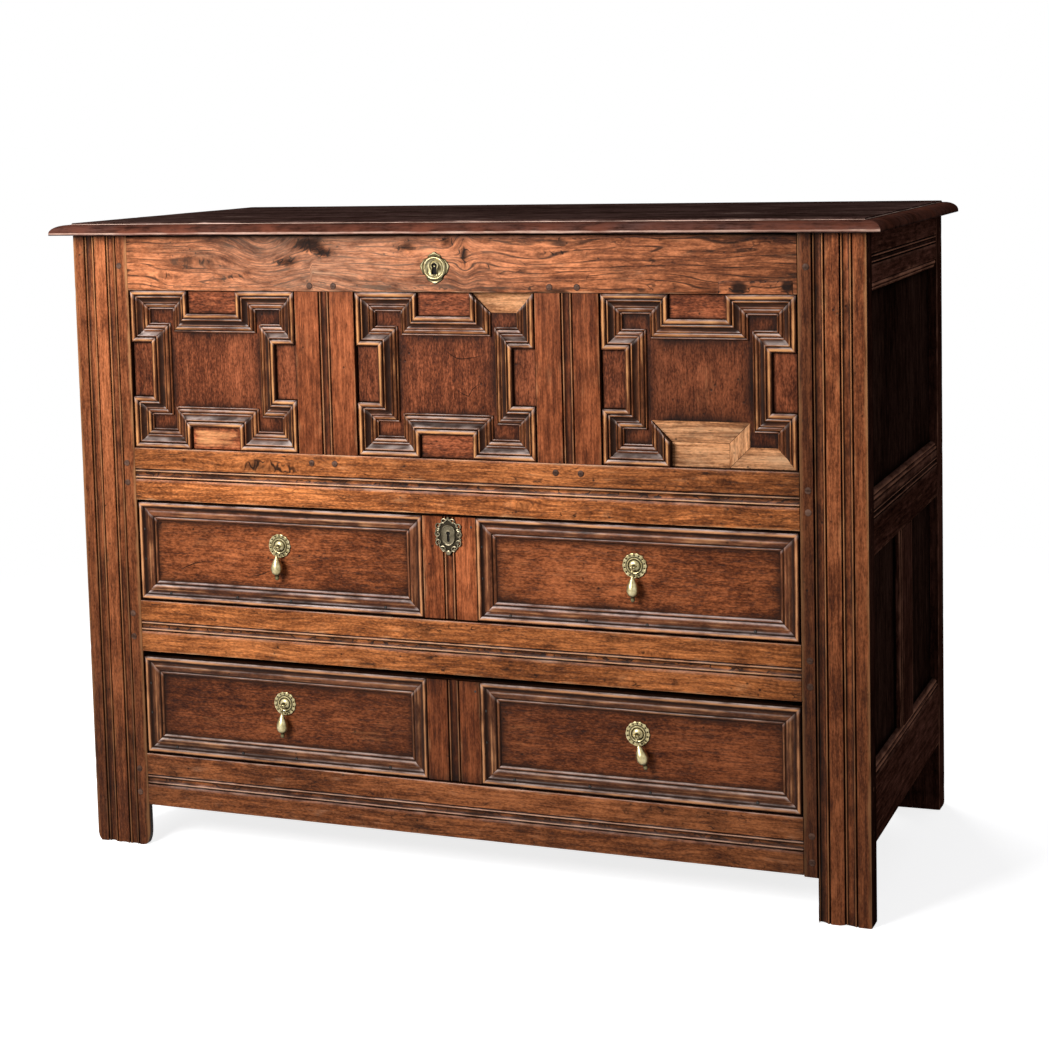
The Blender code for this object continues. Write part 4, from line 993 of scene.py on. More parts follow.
drawers = {
    "halfWidth": 0.514, "field": 0.010, "glued": 0.0102, "back": 0.026, "sideIn": 0.498, "rabbet": 0.0138,
    "stripHalf": 0.042, "stripSet": 0.002, "stripBand": 0.020, "stripDark": {"upper": -0.12, "lower": 0.40},
    "stripEnd": 0.35, "stripReach": 0.012,
    "cornerDark": 0.34, "endReach": 0.040, "edgeReach": 0.013, "seeds": {"upper": 61.0, "lower": 73.0},
    "heights": {"upper": (0.3885, 0.5385), "lower": (0.1485, 0.2985)},
    "finishes": {"upper": (drawerOak, drawerStickOak), "lower": (lowDrawerOak, lowDrawerStickOak)},
    "profile": (
        (0.0001, 0.0028, -1.2), (0.0006, 0.0013, -0.6), (0.0017, 0.0003, 0.30), (0.0033, 0.0, 0.80),
        (0.0049, 0.0003, 0.45), (0.0061, 0.0011, -0.4), (0.0070, 0.0028, -1.1), (0.0082, 0.0043, -1.2),
        (0.0095, 0.0051, -0.7), (0.0112, 0.0057, -0.50), (0.0127, 0.0058, -0.35), (0.0137, 0.0053, 0.20),
        (0.0150, 0.0048, 0.40), (0.0166, 0.0046, 0.15), (0.0184, 0.0046, 0.05), (0.0200, 0.0049, 0.30),
        (0.0212, 0.0056, 0.0), (0.0222, 0.0069, -0.9), (0.0230, 0.0082, -1.3), (0.0238, 0.0074, -0.3),
        (0.0248, 0.0070, 0.30), (0.0259, 0.0073, 0.2), (0.0268, 0.0080, -0.3), (0.0275, 0.0090, -0.9),
        (0.0280, 0.0097, -1.1),
    ),
    # nails through the lower sticks and the ends, from the stick's lower left corner: right, up and depth
    "nails": ((0.0495, 0.0100, 0.0052), (0.164, 0.0105, 0.0052), (0.254, 0.0098, 0.0052),
              (0.409, 0.0104, 0.0052), (0.0072, 0.062, 0.0045), (0.0072, 0.108, 0.0045)),
    "nailRadius": 0.0023, "nailRise": 0.0010, "stripPin": (0.035, 0.014, 0.0018, 0.0004),
}
for place, (low, high) in drawers["heights"].items():
    body = "drawer_" + place
    seed = drawers["seeds"][place]
    half = drawers["halfWidth"]
    strip = drawers["stripHalf"]
    middleX = (half + strip) / 2
    middleZ = (low + high) / 2
    a = (half - strip) / 2 - gap
    b = (high - low) / 2 - gap
    frameCorners = [(-a, -b), (a, -b), (a, b), (-a, b)]
    width = drawers["profile"][-1][0]
    fieldFinish, stickFinish = drawers["finishes"][place]

    # painted shade on the field just inside the mouldings
    def drawerEdgeShade(u, v):
        away = min(a - abs(abs(u) - middleX), b - abs(v - middleZ)) - width
        return 0.02 - 0.75 * fading(away, 0.006)

    # painted shade towards the ends and edges of each field
    def drawerShade(u, v):
        ends = fading(a - abs(abs(u) - middleX) - width, drawers["endReach"])
        edges = fading(b - abs(v - middleZ) - width, drawers["edgeReach"])
        return -drawers["cornerDark"] * ends - drawers["cornerDark"] * edges, 0.0

    # painted light and shade: the upper strip lighter, the lower one darker as the light falls off downwards;
    # darker at the ends
    def stripTone(s, u):
        end = min(s - low, high - s)
        return -drawers["stripEnd"] * exp(-end / drawers["stripReach"]) - drawers["stripDark"][place], 0.0

    def drawerBack(u, v):
        return drawers["rabbet"] if abs(u) > drawers["sideIn"] - 0.0002 else drawers["back"]

    uLines = steps(-half, half, 0.006)
    uLines = sorted(uLines + [s * (drawers["sideIn"] + d) for s in (-1, 1) for d in (-0.0004, 0.0)])
    pile = newPile()
    plate(pile, uLines, steps(low, high, 0.006), onFrontAlongX, even(drawers["field"]), drawerBack,
          drawerEdgeShade, seed, toneAt=drawerShade)
    makePiece(body + "_field", pile, fieldFinish, body, (body + "_front",))

    pile = newPile()
    for sign in (-1, 1):
        sticksRound(pile, frameCorners, (sign * middleX, middleZ), drawers["profile"], drawers["glued"],
                    seed + 5 * sign, step=0.006)
    makePiece(body + "_sticks", pile, stickFinish, body, upwardSheen=0.75)

    pile = newPile()
    outline = boardOutline(-strip + gap, strip - gap, drawers["glued"] - drawers["stripSet"],
                           ((0.0, drawers["stripBand"]),), rub=0.5)
    outline = [(u, d + drawers["stripSet"], wear) for u, d, wear in outline]
    sweep(pile, outline, onFrontAlongZ, level(low + gap), level(high - gap), 0.006, seed + 9,
          toneAt=stripTone)
    makePiece(body + "_strip", pile, muntinOak, body)

    pile = newPile()
    for first in (-half, strip):
        for k, (right, rise, depth) in enumerate(drawers["nails"]):
            pegHead(pile, (first + right, frontY + depth, low + rise), frontAxes, drawers["nailRadius"],
                    drawers["nailRise"], 2.3 * k, 9)
    x, fall, radius, rise = drawers["stripPin"]
    pegHead(pile, (x, frontY + drawers["stripSet"] + 0.0002, high - fall), frontAxes, radius, rise, 5.0, 9)
    makePiece(body + "_nails", pile, darkIron, body)
print("drawer fronts done")


# lid boards with a thumbnail edge at the front and ends

lid = {
    "halfWidth": 0.634, "halfDepth": 0.300, "top": 0.9643, "thick": 0.018, "joint": -0.092,
    "tip": 0.0032, "roundWidth": 0.021, "fillet": 0.004, "step": 0.0025, "stepSlope": 0.0009,
    "thumbEnd": 0.0205, "redEnd": 0.0225, "quirkEnd": 0.0249, "arrisEnd": 0.0251, "flatFrom": 0.026,
    "seamDepth": 0.0009, "seamReach": 0.0012, "warp": 0.0005,
    "arrisRub": 0.95, "quirkSoot": -0.5, "edgeRub": 0.9, "seamSoot": 0.9, "seamRub": 0.35,
    "red": 0.62, "redPatch": 0.60, "borderTone": 0.35, "borderReach": 0.03,
}


def lidMould(edge):
    # depth below the top at a distance from a moulded edge
    full = lid["thick"] - lid["tip"]
    if edge < lid["roundWidth"]:
        return full - (full - lid["step"]) * sqrt(max(0.0, 1 - (1 - edge / lid["roundWidth"]) ** 2))
    start = lid["roundWidth"] + lid["fillet"]
    if edge < start:
        return lid["step"]
    return max(0.0, lid["step"] - 0.0003) * max(0.0, 1 - (edge - start) / lid["stepSlope"])


def lidEdge(x, y):
    return min(lid["halfWidth"] - abs(x), y + lid["halfDepth"])


def lidFront(x, y):
    edge = lidEdge(x, y)
    depth = lidMould(edge)
    seam = min(abs(y - lid["joint"]), lid["halfDepth"] - y)
    if edge > lid["flatFrom"]:
        depth += lid["seamDepth"] * exp(-seam / lid["seamReach"])
    return depth + lid["warp"] * (0.5 + 0.5 * ripple(x * 1.7, y * 7, 2.0))


def lidWear(x, y):
    edge = lidEdge(x, y)
    slow = ripple(x * 9, y * 30, 4.0)
    seam = abs(y - lid["joint"])
    if edge < 0.0001:
        atEnd = lid["halfWidth"] - abs(x) <= 0.0001
        return 0.0 if atEnd else lid["arrisRub"] + 0.5 * slow  # the front arris is rubbed pale: wear and a painted highlight
    if edge < lid["thumbEnd"]:
        return -0.10 + 0.30 * slow
    if edge < lid["quirkEnd"]:
        return lid["quirkSoot"]
    # the step's edge is pale: wear and a painted highlight
    if edge < lid["arrisEnd"]:
        return lid["edgeRub"] + 0.3 * slow
    rubbed = lid["seamRub"] * exp(-abs(seam - 0.003) / 0.0015)  # just beside the open joint
    return 0.16 * slow - lid["seamSoot"] * exp(-seam / 0.0010) + rubbed


def lidTone(x, y):
    # the moulded edge is handled and redder than the top
    edge = lidEdge(x, y)
    if edge < lid["redEnd"]:
        return 0.0, lid["red"] + lid["redPatch"] * ripple(x * 19, y * 19, 9.0)
    return lid["borderTone"] * exp(-(edge - 0.025) / lid["borderReach"]), 0.0


def onLid(u, v, d):
    return (u, v, lid["top"] - d)


mouldLines = [lid["roundWidth"] * (1 - cos(radians(9 * i))) for i in range(11)]
mouldLines += [0.0230, 0.0248, 0.0250, 0.0253, 0.0260, 0.0272, 0.0300]
endLines = [-lid["halfWidth"] + line for line in mouldLines]
lidX = endLines + steps(endLines[-1], -endLines[-1], 0.0105)[1:-1] + [-line for line in reversed(endLines)]
seamLines = [0.0004, 0.0014, 0.003, 0.005]
frontLines = [-lid["halfDepth"] + line for line in mouldLines]
jointFront = lid["joint"] - gap / 2
jointBack = lid["joint"] + gap / 2
frontBoard = frontLines + steps(frontLines[-1], jointFront - 0.008, 0.0085)[1:]
frontBoard += [jointFront - line for line in reversed(seamLines)] + [jointFront]
backBoard = [jointBack] + [jointBack + line for line in seamLines]
backBoard += steps(jointBack + 0.008, lid["halfDepth"] - 0.006, 0.0095)
backBoard += [lid["halfDepth"] - line for line in (0.003, 0.0014, 0.0004, 0.0)]
for node, vLines, seed in (("lid_board_front", frontBoard, 83.0), ("lid_board_back", backBoard, 89.5)):
    pile = newPile()
    plate(pile, lidX, vLines, onLid, lidFront, even(lid["thick"]), lidWear, seed, toneAt=lidTone, rough=0.6)
    makePiece(node + "_oak", pile, lidOak, "lid", (node,), 28.0,
              flank=(insideOak["grain"], Vector((0, 0, -1))))
print("lid done")


# side frames, alike at both ends

sides = {
    "rails": {"top": (0.861, 0.9445), "middle": (0.505, 0.592), "bottom": (0.108, 0.215)},
    "moulds": {"top": (True, False), "middle": (False, True), "bottom": (False, True)},
    "bands": {"top": ((0.9065, 0.0150),), "middle": ((0.5610, 0.0150),), "bottom": ()},
    "muntin": (-0.0445, 0.0505), "muntinZ": (0.2153, 0.5047),
    "panelFront": 0.012, "panelBack": 0.020, "tongue": 0.007,
    "lift": {"top": 0.6, "middle": 0.2, "bottom": 0.3},
    "panels": {"upper_panel": ((-0.240, 0.246), (0.592, 0.861)),
               "lower_panel_front": ((-0.240, -0.0445), (0.215, 0.505)),
               "lower_panel_back": ((0.0505, 0.246), (0.215, 0.505))},
}
for hand, sign in hands:
    sideX = coffer["sideX"]

    def alongSide(s, u, d):
        return (sign * (sideX - d), s, u)

    def upSide(s, u, d):
        return (sign * (sideX - d), u, s)

    start = coffer["sideFrontY"] + gap
    stop = coffer["sideBackY"] - gap
    for k, (place, (low, high)) in enumerate(sides["rails"].items()):
        pile = newPile()
        outline = boardOutline(low, high, coffer["railThick"], sides["bands"][place], rub=0.5,
                               moulds=sides["moulds"][place])
        sweep(pile, outline, alongSide, level(start), level(stop), 0.009, 101.0 + 5 * k + 2 * sign,
              toneAt=flatTone(sides["lift"][place]))
        node = "side_" + place + "_rail_" + hand
        makePiece(node + "_oak", pile, sideFrameOak, "carcase", (node,), upwardSheen=0.5)
    pile = newPile()
    outline = boardOutline(*sides["muntin"], coffer["railThick"], rub=0.5, moulds=(True, True))
    sweep(pile, outline, upSide, level(sides["muntinZ"][0]), level(sides["muntinZ"][1]), 0.009, 121.0 + sign)
    node = "side_muntin_" + hand
    makePiece(node + "_oak", pile, sideFrameOak, "carcase", (node,))
    tongue = sides["tongue"]
    for k, (place, (ys, zs)) in enumerate(sides["panels"].items()):

        def sidePanelEdgeDark(u, v):
            return 0.05 - 0.8 * fading(fromEdges(u, v, ys, zs), 0.012)

        pile = newPile()
        uLines = steps(ys[0] - tongue, ys[1] + tongue, 0.009)
        vLines = steps(zs[0] - tongue, zs[1] + tongue, 0.009)
        plate(pile, uLines, vLines, alongSide, even(sides["panelFront"]), even(sides["panelBack"]), sidePanelEdgeDark,
              131.0 + 4 * k + sign, "v")
        node = "side_" + place + "_" + hand
        makePiece(node + "_oak", pile, sideOak, "carcase", (node,))

    def onBackStile(s, u, d):
        return (sign * (coffer["halfWidth"] - d), u, unevenSole(s, u, d))

    pile = newPile()
    outline = boardOutline(coffer["sideBackY"], coffer["backY"], coffer["backStileWide"], rub=0.55,
                           arris=0.0016, sides=(-0.4, -0.15))
    sweep(pile, outline, onBackStile, level(0.0), level(coffer["topZ"]), 0.009, 141.0 + sign, (0.003, 0.010))
    node = "stile_back_" + hand
    makePiece(node + "_oak", pile, sideFrameOak, "carcase", (node,))
print("side frames done")


# back boards, rough from the saw

backs = {
    "halfWidth": 0.5357, "thick": 0.015, "set": 0.0006, "saw": 0.0003, "sawRate": 420,
    "split": 0.0030, "splitReach": 0.0016, "edge": 0.0010, "edgeReach": 0.002, "sootReach": 0.006,
    "boards": {"back_board_lower": ((0.100, 0.5217), 0.318), "back_board_upper": ((0.522, 0.9432), 0.741)},
}


def onBack(u, v, d):
    return (u, coffer["backY"] - d, v)


for node, ((low, high), split) in backs["boards"].items():

    def backFront(u, v):
        seam = abs(v - split)
        saw = backs["saw"] * sin(u * backs["sawRate"] + 4 * ripple(u * 3, v * 5, 1.0))
        edge = min(v - low, high - v)
        opened = backs["split"] * exp(-seam / backs["splitReach"])
        return backs["set"] + saw + opened + backs["edge"] * exp(-edge / backs["edgeReach"])

    def backWear(u, v):
        away = min(abs(v - split), v - low + 0.002, high - v + 0.002)
        return 0.1 - 0.9 * exp(-away / backs["sootReach"])

    vLines = sorted(steps(low, high, 0.009) + [split + d for d in (-0.003, -0.0015, 0.0, 0.0015, 0.003)])
    pile = newPile()
    plate(pile, steps(-backs["halfWidth"], backs["halfWidth"], 0.0042), vLines, onBack, backFront,
          even(backs["thick"]), backWear, 151.0 + low)
    makePiece(node + "_oak", pile, insideOak["grain"], "carcase", (node,))
print("back done")


# oak pegs, iron nails and the let-in repair

pegs = {
    "radius": 0.0049, "rise": 0.0012,
    "front": ((-0.530, 0.899), (-0.530, 0.598), (-0.530, 0.568), (-0.530, 0.365), (-0.530, 0.329),
              (-0.530, 0.121), (-0.530, 0.084), (0.528, 0.899), (0.528, 0.598), (0.528, 0.568),
              (0.528, 0.365), (0.528, 0.329), (0.528, 0.121), (0.528, 0.084),
              (-0.2095, 0.870), (-0.1713, 0.870), (0.1637, 0.870), (0.2044, 0.870),
              (-0.2152, 0.609), (-0.1777, 0.609), (0.167, 0.609), (0.2044, 0.609)),
    "sideY": (-0.258, 0.268), "sideZ": (0.128, 0.190, 0.522, 0.572, 0.880, 0.920),
}
pile = newPile()
for k, (x, z) in enumerate(pegs["front"]):
    pegHead(pile, (x, frontY + 0.0003, z), frontAxes, pegs["radius"], pegs["rise"], 3.1 * k)
makePiece("front_pegs", pile, pegOak, "carcase")
for hand, sign in hands:
    pile = newPile()
    axes = ((0, sign, 0), (0, 0, 1), (sign, 0, 0))
    for k, y in enumerate(pegs["sideY"]):
        for m, z in enumerate(pegs["sideZ"]):
            pegHead(pile, (sign * (coffer["halfWidth"] - 0.0003), y, z), axes, pegs["radius"] * 0.9,
                    pegs["rise"], 5.3 * k + 1.9 * m)
    makePiece("side_pegs_" + hand, pile, sideOak, "carcase")

nails = {
    "radius": 0.0034, "rise": 0.0010, "x": 0.524, "z": (0.13, 0.23, 0.38, 0.49, 0.55, 0.67, 0.81, 0.915),
    "face": coffer["backY"] - 0.0008,
}
pile = newPile()
backAxes = ((-1, 0, 0), (0, 0, 1), (0, 1, 0))
underAxes = ((1, 0, 0), (0, -1, 0), (0, 0, -1))
for z in nails["z"]:
    for sign in (-1, 1):
        pegHead(pile, (sign * nails["x"], nails["face"], z), backAxes, nails["radius"], nails["rise"], z)
makePiece("back_nails", pile, darkIron, "carcase")

hingeNails = {
    "x": 0.380, "radius": 0.0042, "strapRadius": 0.00378, "rise": 0.0016, "stagger": 0.002,
    "leaf": ((-0.013, 0.871), (0.013, 0.871), (0.0, 0.890), (-0.013, 0.909), (0.013, 0.909)),
    "leafFace": 0.2906, "strap": (0.152, 0.180, 0.208, 0.236, 0.262), "strapFace": 0.9440,
}
for hand, sign in hands:
    pile = newPile()
    for k, (x, z) in enumerate(hingeNails["leaf"]):
        pegHead(pile, (sign * hingeNails["x"] + x, hingeNails["leafFace"], z), backAxes, hingeNails["radius"],
                hingeNails["rise"], 1.7 * k + sign)
    makePiece("hinge_leaf_nails_" + hand, pile, darkIron, "carcase")
    pile = newPile()
    for k, y in enumerate(hingeNails["strap"]):
        x = sign * hingeNails["x"] + hingeNails["stagger"] * (-1) ** k
        pegHead(pile, (x, y, hingeNails["strapFace"]), underAxes, hingeNails["strapRadius"],
                hingeNails["rise"], 2.9 * k + sign)
    makePiece("hinge_strap_nails_" + hand, pile, darkIron, "lid")

repair = {
    "x": (0.406, 0.5115), "z": (0.8626, 0.881), "proud": 0.0006, "deep": 0.004, "tone": -0.12,
    "arris": 0.0009, "arrisReach": 0.0012, "jointReach": 0.0016, "uneven": 0.0016,
    "stains": ((0.437, 0.870, 0.016, 0.011), (0.503, 0.872, 0.010, 0.010)), "stain": 1.6,
}


def spotted(u, v, spots):
    return sum(max(0.0, 1 - hypot((u - x) / wide, (v - z) / tall)) for x, z, wide, tall in spots)


def repairEdge(u, v):
    return min(u - repair["x"][0], repair["x"][1] - u, repair["z"][1] - v)


def repairRows(u, v):
    return -repair["proud"] + repair["arris"] * fading(repairEdge(u, v), repair["arrisReach"])


def repairWear(u, v):
    stain = repair["stain"] * spotted(u, v, repair["stains"])
    return repair["tone"] - fading(repairEdge(u, v), repair["jointReach"]) - stain


def onRepair(u, v, d):
    low, high = repair["z"]
    lift = repair["uneven"] * ripple(u * 45, 0.5, 6.0) * (v - low) / (high - low)
    return (u, frontY + d, v + lift)


pile = newPile()
plate(pile, steps(*repair["x"], 0.003), steps(*repair["z"], 0.0023), onRepair, repairRows,
      even(repair["deep"]), repairWear, 161.0)
makePiece("top_rail_repair", pile, topRailOak, "carcase")
print("pegs, nails and repair done")


# cracks and scratches that old wax has filled: body, slot, depth behind the front, half width and points

cracks = {
    "field_scratches": ("carcase", "panel_oak", 0.0130, 0.0008, (
        ((-0.004, 0.780), (0.006, 0.771), (0.016, 0.766), (0.030, 0.766), (0.046, 0.769), (0.058, 0.772)),
        ((0.010, 0.723), (0.022, 0.716), (0.032, 0.712), (0.038, 0.722), (0.048, 0.730), (0.056, 0.728)))),
    "drawer_upper_cracks": ("drawer_upper", "drawer_oak", 0.0100, 0.0009, (
        ((-0.452, 0.434), (-0.440, 0.440), (-0.425, 0.446), (-0.412, 0.449), (-0.398, 0.453)),
        ((-0.330, 0.431), (-0.315, 0.434), (-0.300, 0.440), (-0.292, 0.441)),
        ((-0.480, 0.490), (-0.468, 0.491), (-0.455, 0.492)))),
    "drawer_lower_cracks": ("drawer_lower", "drawer_oak", 0.0100, 0.0008, (
        ((0.150, 0.252), (0.168, 0.254), (0.190, 0.253), (0.205, 0.256)),)),
}
crackJog = 0.0006
for name, (body, slotName, depth, half, lines) in cracks.items():
    pile = newPile()
    for line in lines:
        path = []
        for (x, z), (nextX, nextZ) in zip(line, line[1:]):
            for i in range(4):
                t = i / 4
                jog = crackJog * ripple(x * 400 + 9 * t, z * 300, 4.0)
                path.append((x + (nextX - x) * t, frontY + depth + 0.5 * half, z + (nextZ - z) * t + jog))
        wire(pile, path, lambda t: half * (0.25 + 0.75 * sin(pi * t)), 6, -1.5)
    makePiece(name, pile, frameOak, body)
print("cracks done")


# brass pulls: a pierced rose, a staple and a pear drop

pulls = {
    "x": 0.278, "z": {"upper": 0.4805, "lower": 0.2405}, "stand": 0.0115, "field": 0.0097,
    "scallops": 14, "lobe": 0.0005, "rimFrom": 0.0162, "rimOver": 0.0023, "rimTrim": 0.0176,
    "pitRadius": 0.0151, "pitWidth": 0.0011, "pitDepth": 0.0010, "pitSoot": 2.2, "pitFloor": 0.0005,
    "stapleHalf": 0.0040, "stapleCorner": 0.0016, "stapleFoot": 0.0028, "stapleWire": 0.0010,
    "eye": 0.0026, "eyeWire": 0.00068, "tilt": {"lower_right": radians(-18.0)},
    # sections of the rose and the drop: radius, height and wear
    "rose": (
        (0.0, 0.0050, -0.8), (0.0016, 0.0050, -0.7), (0.0033, 0.0049, 0.1), (0.0051, 0.0043, 0.6),
        (0.0067, 0.0034, 0.6), (0.0078, 0.0023, 0.2), (0.0085, 0.0013, -0.9), (0.0090, 0.0015, -0.5),
        (0.0098, 0.0025, 0.5), (0.0107, 0.0027, 0.7), (0.0115, 0.0021, 0.1), (0.0120, 0.0013, -0.7),
        (0.0127, 0.0014, -0.1), (0.0136, 0.0016, 0.2), (0.0144, 0.0016, 0.3), (0.0151, 0.0016, 0.3),
        (0.0158, 0.0016, 0.3), (0.0165, 0.0017, 0.5), (0.0174, 0.0016, 0.7), (0.0181, 0.0011, 0.5),
        (0.0185, 0.0004, -0.3), (0.0183, 0.0, -0.6), (0.0, 0.0, -0.6),
    ),
    "drop": (
        (0.0, -0.0024, 0.0), (0.0013, -0.0026, 0.1), (0.0014, -0.0048, 0.2), (0.0020, -0.0061, 0.4),
        (0.0021, -0.0069, 0.5), (0.0015, -0.0080, -0.3), (0.0014, -0.0108, 0.1), (0.0016, -0.0132, 0.2),
        (0.0031, -0.0160, 0.5), (0.0048, -0.0191, 0.6), (0.0065, -0.0224, 0.7), (0.0079, -0.0257, 0.7),
        (0.0087, -0.0287, 0.7), (0.0089, -0.0315, 0.7), (0.0088, -0.0343, 0.6), (0.0080, -0.0372, 0.5),
        (0.0062, -0.0398, 0.2), (0.0040, -0.0416, -0.3), (0.0028, -0.0425, -0.7), (0.0029, -0.0435, -0.4),
        (0.0032, -0.0452, -0.1), (0.0030, -0.0472, -0.1), (0.0022, -0.0488, -0.2), (0.0011, -0.0497, -0.3),
        (0.0, -0.0500, -0.3),
    ),
}


def roseFlute(angle, r, h, wear):
    # scalloped rim with a small pit pierced behind each scallop
    lobe = cos(pulls["scallops"] * angle)
    if r > pulls["rimFrom"]:
        r += pulls["lobe"] * lobe * (r - pulls["rimFrom"]) / pulls["rimOver"]
    pit = max(0.0, -lobe) ** 2 * hump(r - pulls["pitRadius"], pulls["pitWidth"])
    if h > pulls["pitFloor"]:
        h -= pulls["pitDepth"] * pit
    return r - (pulls["lobe"] if r > pulls["rimTrim"] else 0.0), h, wear - pulls["pitSoot"] * pit


def arc(centre, radius, first, last, count, across, up):
    across = Vector(across) * radius
    up = Vector(up) * radius
    angles = [first + (last - first) * i / (count - 1) for i in range(count)]
    return [Vector(centre) + across * cos(angle) + up * sin(angle) for angle in angles]


for place, z in pulls["z"].items():
    for hand, sign in hands:
        x = sign * pulls["x"]
        ending = place + "_" + hand
        pile = newPile()
        fieldY = frontY + pulls["field"]
        turned(pile, pulls["rose"], (x, fieldY, z), frontAxes, 112, roseFlute)
        pivotY = fieldY - pulls["stand"]
        half = pulls["stapleHalf"]
        corner = pulls["stapleCorner"]
        footY = fieldY - pulls["stapleFoot"]
        path = [(x - half, footY, z), (x - half, pivotY + corner * 2, z)]
        path += arc((x - half + corner, pivotY + corner, z), corner, pi, pi / 2, 5, (1, 0, 0), (0, -1, 0))
        path += arc((x + half - corner, pivotY + corner, z), corner, pi / 2, 0, 5, (1, 0, 0), (0, -1, 0))
        path += [(x + half, pivotY + corner * 2, z), (x + half, footY, z)]
        wire(pile, path, pulls["stapleWire"], 10, 0.4)
        makePiece("pull_rose_" + ending, pile, brass, "drawer_" + place,
                  ("pull_plate_" + ending,), 40, paintedLighting=0.85)

        pile = newPile()
        tilt = Matrix.Rotation(pulls["tilt"].get(ending, 0.0), 3, "Y")
        axes = (tilt @ Vector((1, 0, 0)), tilt @ Vector((0, 1, 0)), tilt @ Vector((0, 0, 1)))
        pivot = (x, pivotY, z)
        turned(pile, pulls["drop"], pivot, axes, 28)
        eye = arc(pivot, pulls["eye"], 0, 2 * pi * 23 / 24, 24, axes[1], axes[2])
        wire(pile, eye, pulls["eyeWire"], 10, 0.4, True)
        makePiece("pull_pear_" + ending, pile, brass, "drop_" + ending,
                  ("pull_drop_" + ending,), 40, paintedLighting=0.45)
print("pulls done")


# key plates

lockPlate = {
    "x": -0.0093, "z": 0.8967, "radius": 0.0235, "keyRadius": 0.0040, "slotHalf": 0.0026, "slotFoot": 0.0044,
    "keyRise": 0.003, "drop": 0.0120, "collar": 0.0021, "ring": 0.0150, "ringHalf": 0.0021, "quirk": 0.0183,
    "quirkHalf": 0.0009, "dish": 0.0135, "dishStain": ((0.0085, -0.001, 0.0045, 0.0075),),
    "ringStain": ((-0.0105, -0.004, 0.0022, 0.0080),),
    "rim": (0.885, 0.075, 0.022, 0.014),  # mean, four lobes, small lobes and unevenness, of the radius
    "pin": ((0.0, 0.0020, 0.7), (0.0011, 0.0016, 0.7), (0.0017, 0.0006, 0.4), (0.0017, -0.0004, -0.5)),
}


def keyholeEdge(angle, spec):
    # distance from the keyhole's round to its edge, along a direction measured from straight down
    r = spec["keyRadius"]
    turn = abs((angle + pi) % (2 * pi) - pi)
    if turn > pi / 2:
        return r
    slope = (spec["slotFoot"] - spec["slotHalf"]) / spec["drop"]
    lean = sin(turn) - slope * cos(turn)
    side = spec["slotHalf"] / max(1e-6, lean) if lean > 0 else 1.0
    slot = min(side, spec["drop"] / cos(turn)) if cos(turn) > 1e-6 else r
    return max(r, slot)


def keyPlate(pile, spec, rim, centre, relief, rings, segments=168):
    # rings from the keyhole's edge to the rim; relief gives height and wear
    tops = []
    for k in range(rings + 1):
        ring = []
        for i in range(segments):
            angle = 2 * pi * i / segments
            inner = keyholeEdge(angle, spec)
            outer = rim(angle)
            r = inner + (outer - inner) * k / rings
            x = r * sin(angle)
            z = spec["keyRise"] - r * cos(angle)
            h, wear = relief(x, z, r - inner, outer - r)
            point = (centre[0] + x, centre[1] - h, centre[2] + z)
            ring.append(addPoint(pile, point, point, wear))
        tops.append(ring)
    under = []
    for ring in (tops[-1], tops[0]):
        row = []
        for index in ring:
            x, y, z = pile["points"][index]
            row.append(addPoint(pile, (x, centre[1], z), (x, y, z), -0.8))
        under.append(row)
    joinRings(pile, tops + under + [tops[0]])


def lockRim(angle):
    # distance from the keyhole's round to a rim of four uneven lobes
    rise = lockPlate["keyRise"]
    mean, lobe, small, uneven = lockPlate["rim"]
    lobes = mean + lobe * cos(4 * angle) + small * cos(12 * angle)
    radius = lockPlate["radius"] * (lobes + uneven * ripple(sin(angle) * 2, cos(angle) * 2))
    return rise * cos(angle) + sqrt(radius ** 2 - (rise * sin(angle)) ** 2)


def lockRelief(x, z, fromKey, fromRim):
    # a raised ring, a dished middle and a collar round the keyhole
    away = hypot(x, z)
    width = lockPlate["collar"]
    ring = hump(away - lockPlate["ring"], lockPlate["ringHalf"])
    collar = hump(fromKey - 0.5 * width, 0.6 * width)
    quirk = hump(away - lockPlate["quirk"], lockPlate["quirkHalf"])
    moat = hump(fromKey - 1.7 * width, 0.5 * width)
    edge = fading(fromRim, 0.0008)
    height = 0.0012 + 0.0024 * ring + 0.0016 * collar + 0.0005 * hump(fromRim - 0.0016, 0.0012)
    height -= 0.0008 * edge + 0.0003 * quirk
    stain = spotted(x, z, lockPlate["dishStain"]) if away < lockPlate["dish"] else 0.0
    stain += spotted(x, z, lockPlate["ringStain"])
    return height, 0.25 + 0.5 * ring + 0.5 * collar - 0.9 * quirk - 0.6 * moat - 0.5 * edge - 0.8 * stain


pile = newPile()
keyPlate(pile, lockPlate, lockRim, (lockPlate["x"], frontY - 0.0002, lockPlate["z"]), lockRelief, 28)
pin = (lockPlate["x"], frontY - 0.0006, lockPlate["z"] + lockPlate["keyRise"] - 0.0006)
turned(pile, lockPlate["pin"], pin, frontAxes, 16)
makePiece("lid_lock_rose", pile, brass, "carcase", ("lid_lock_plate",), 40, paintedLighting=0.95)

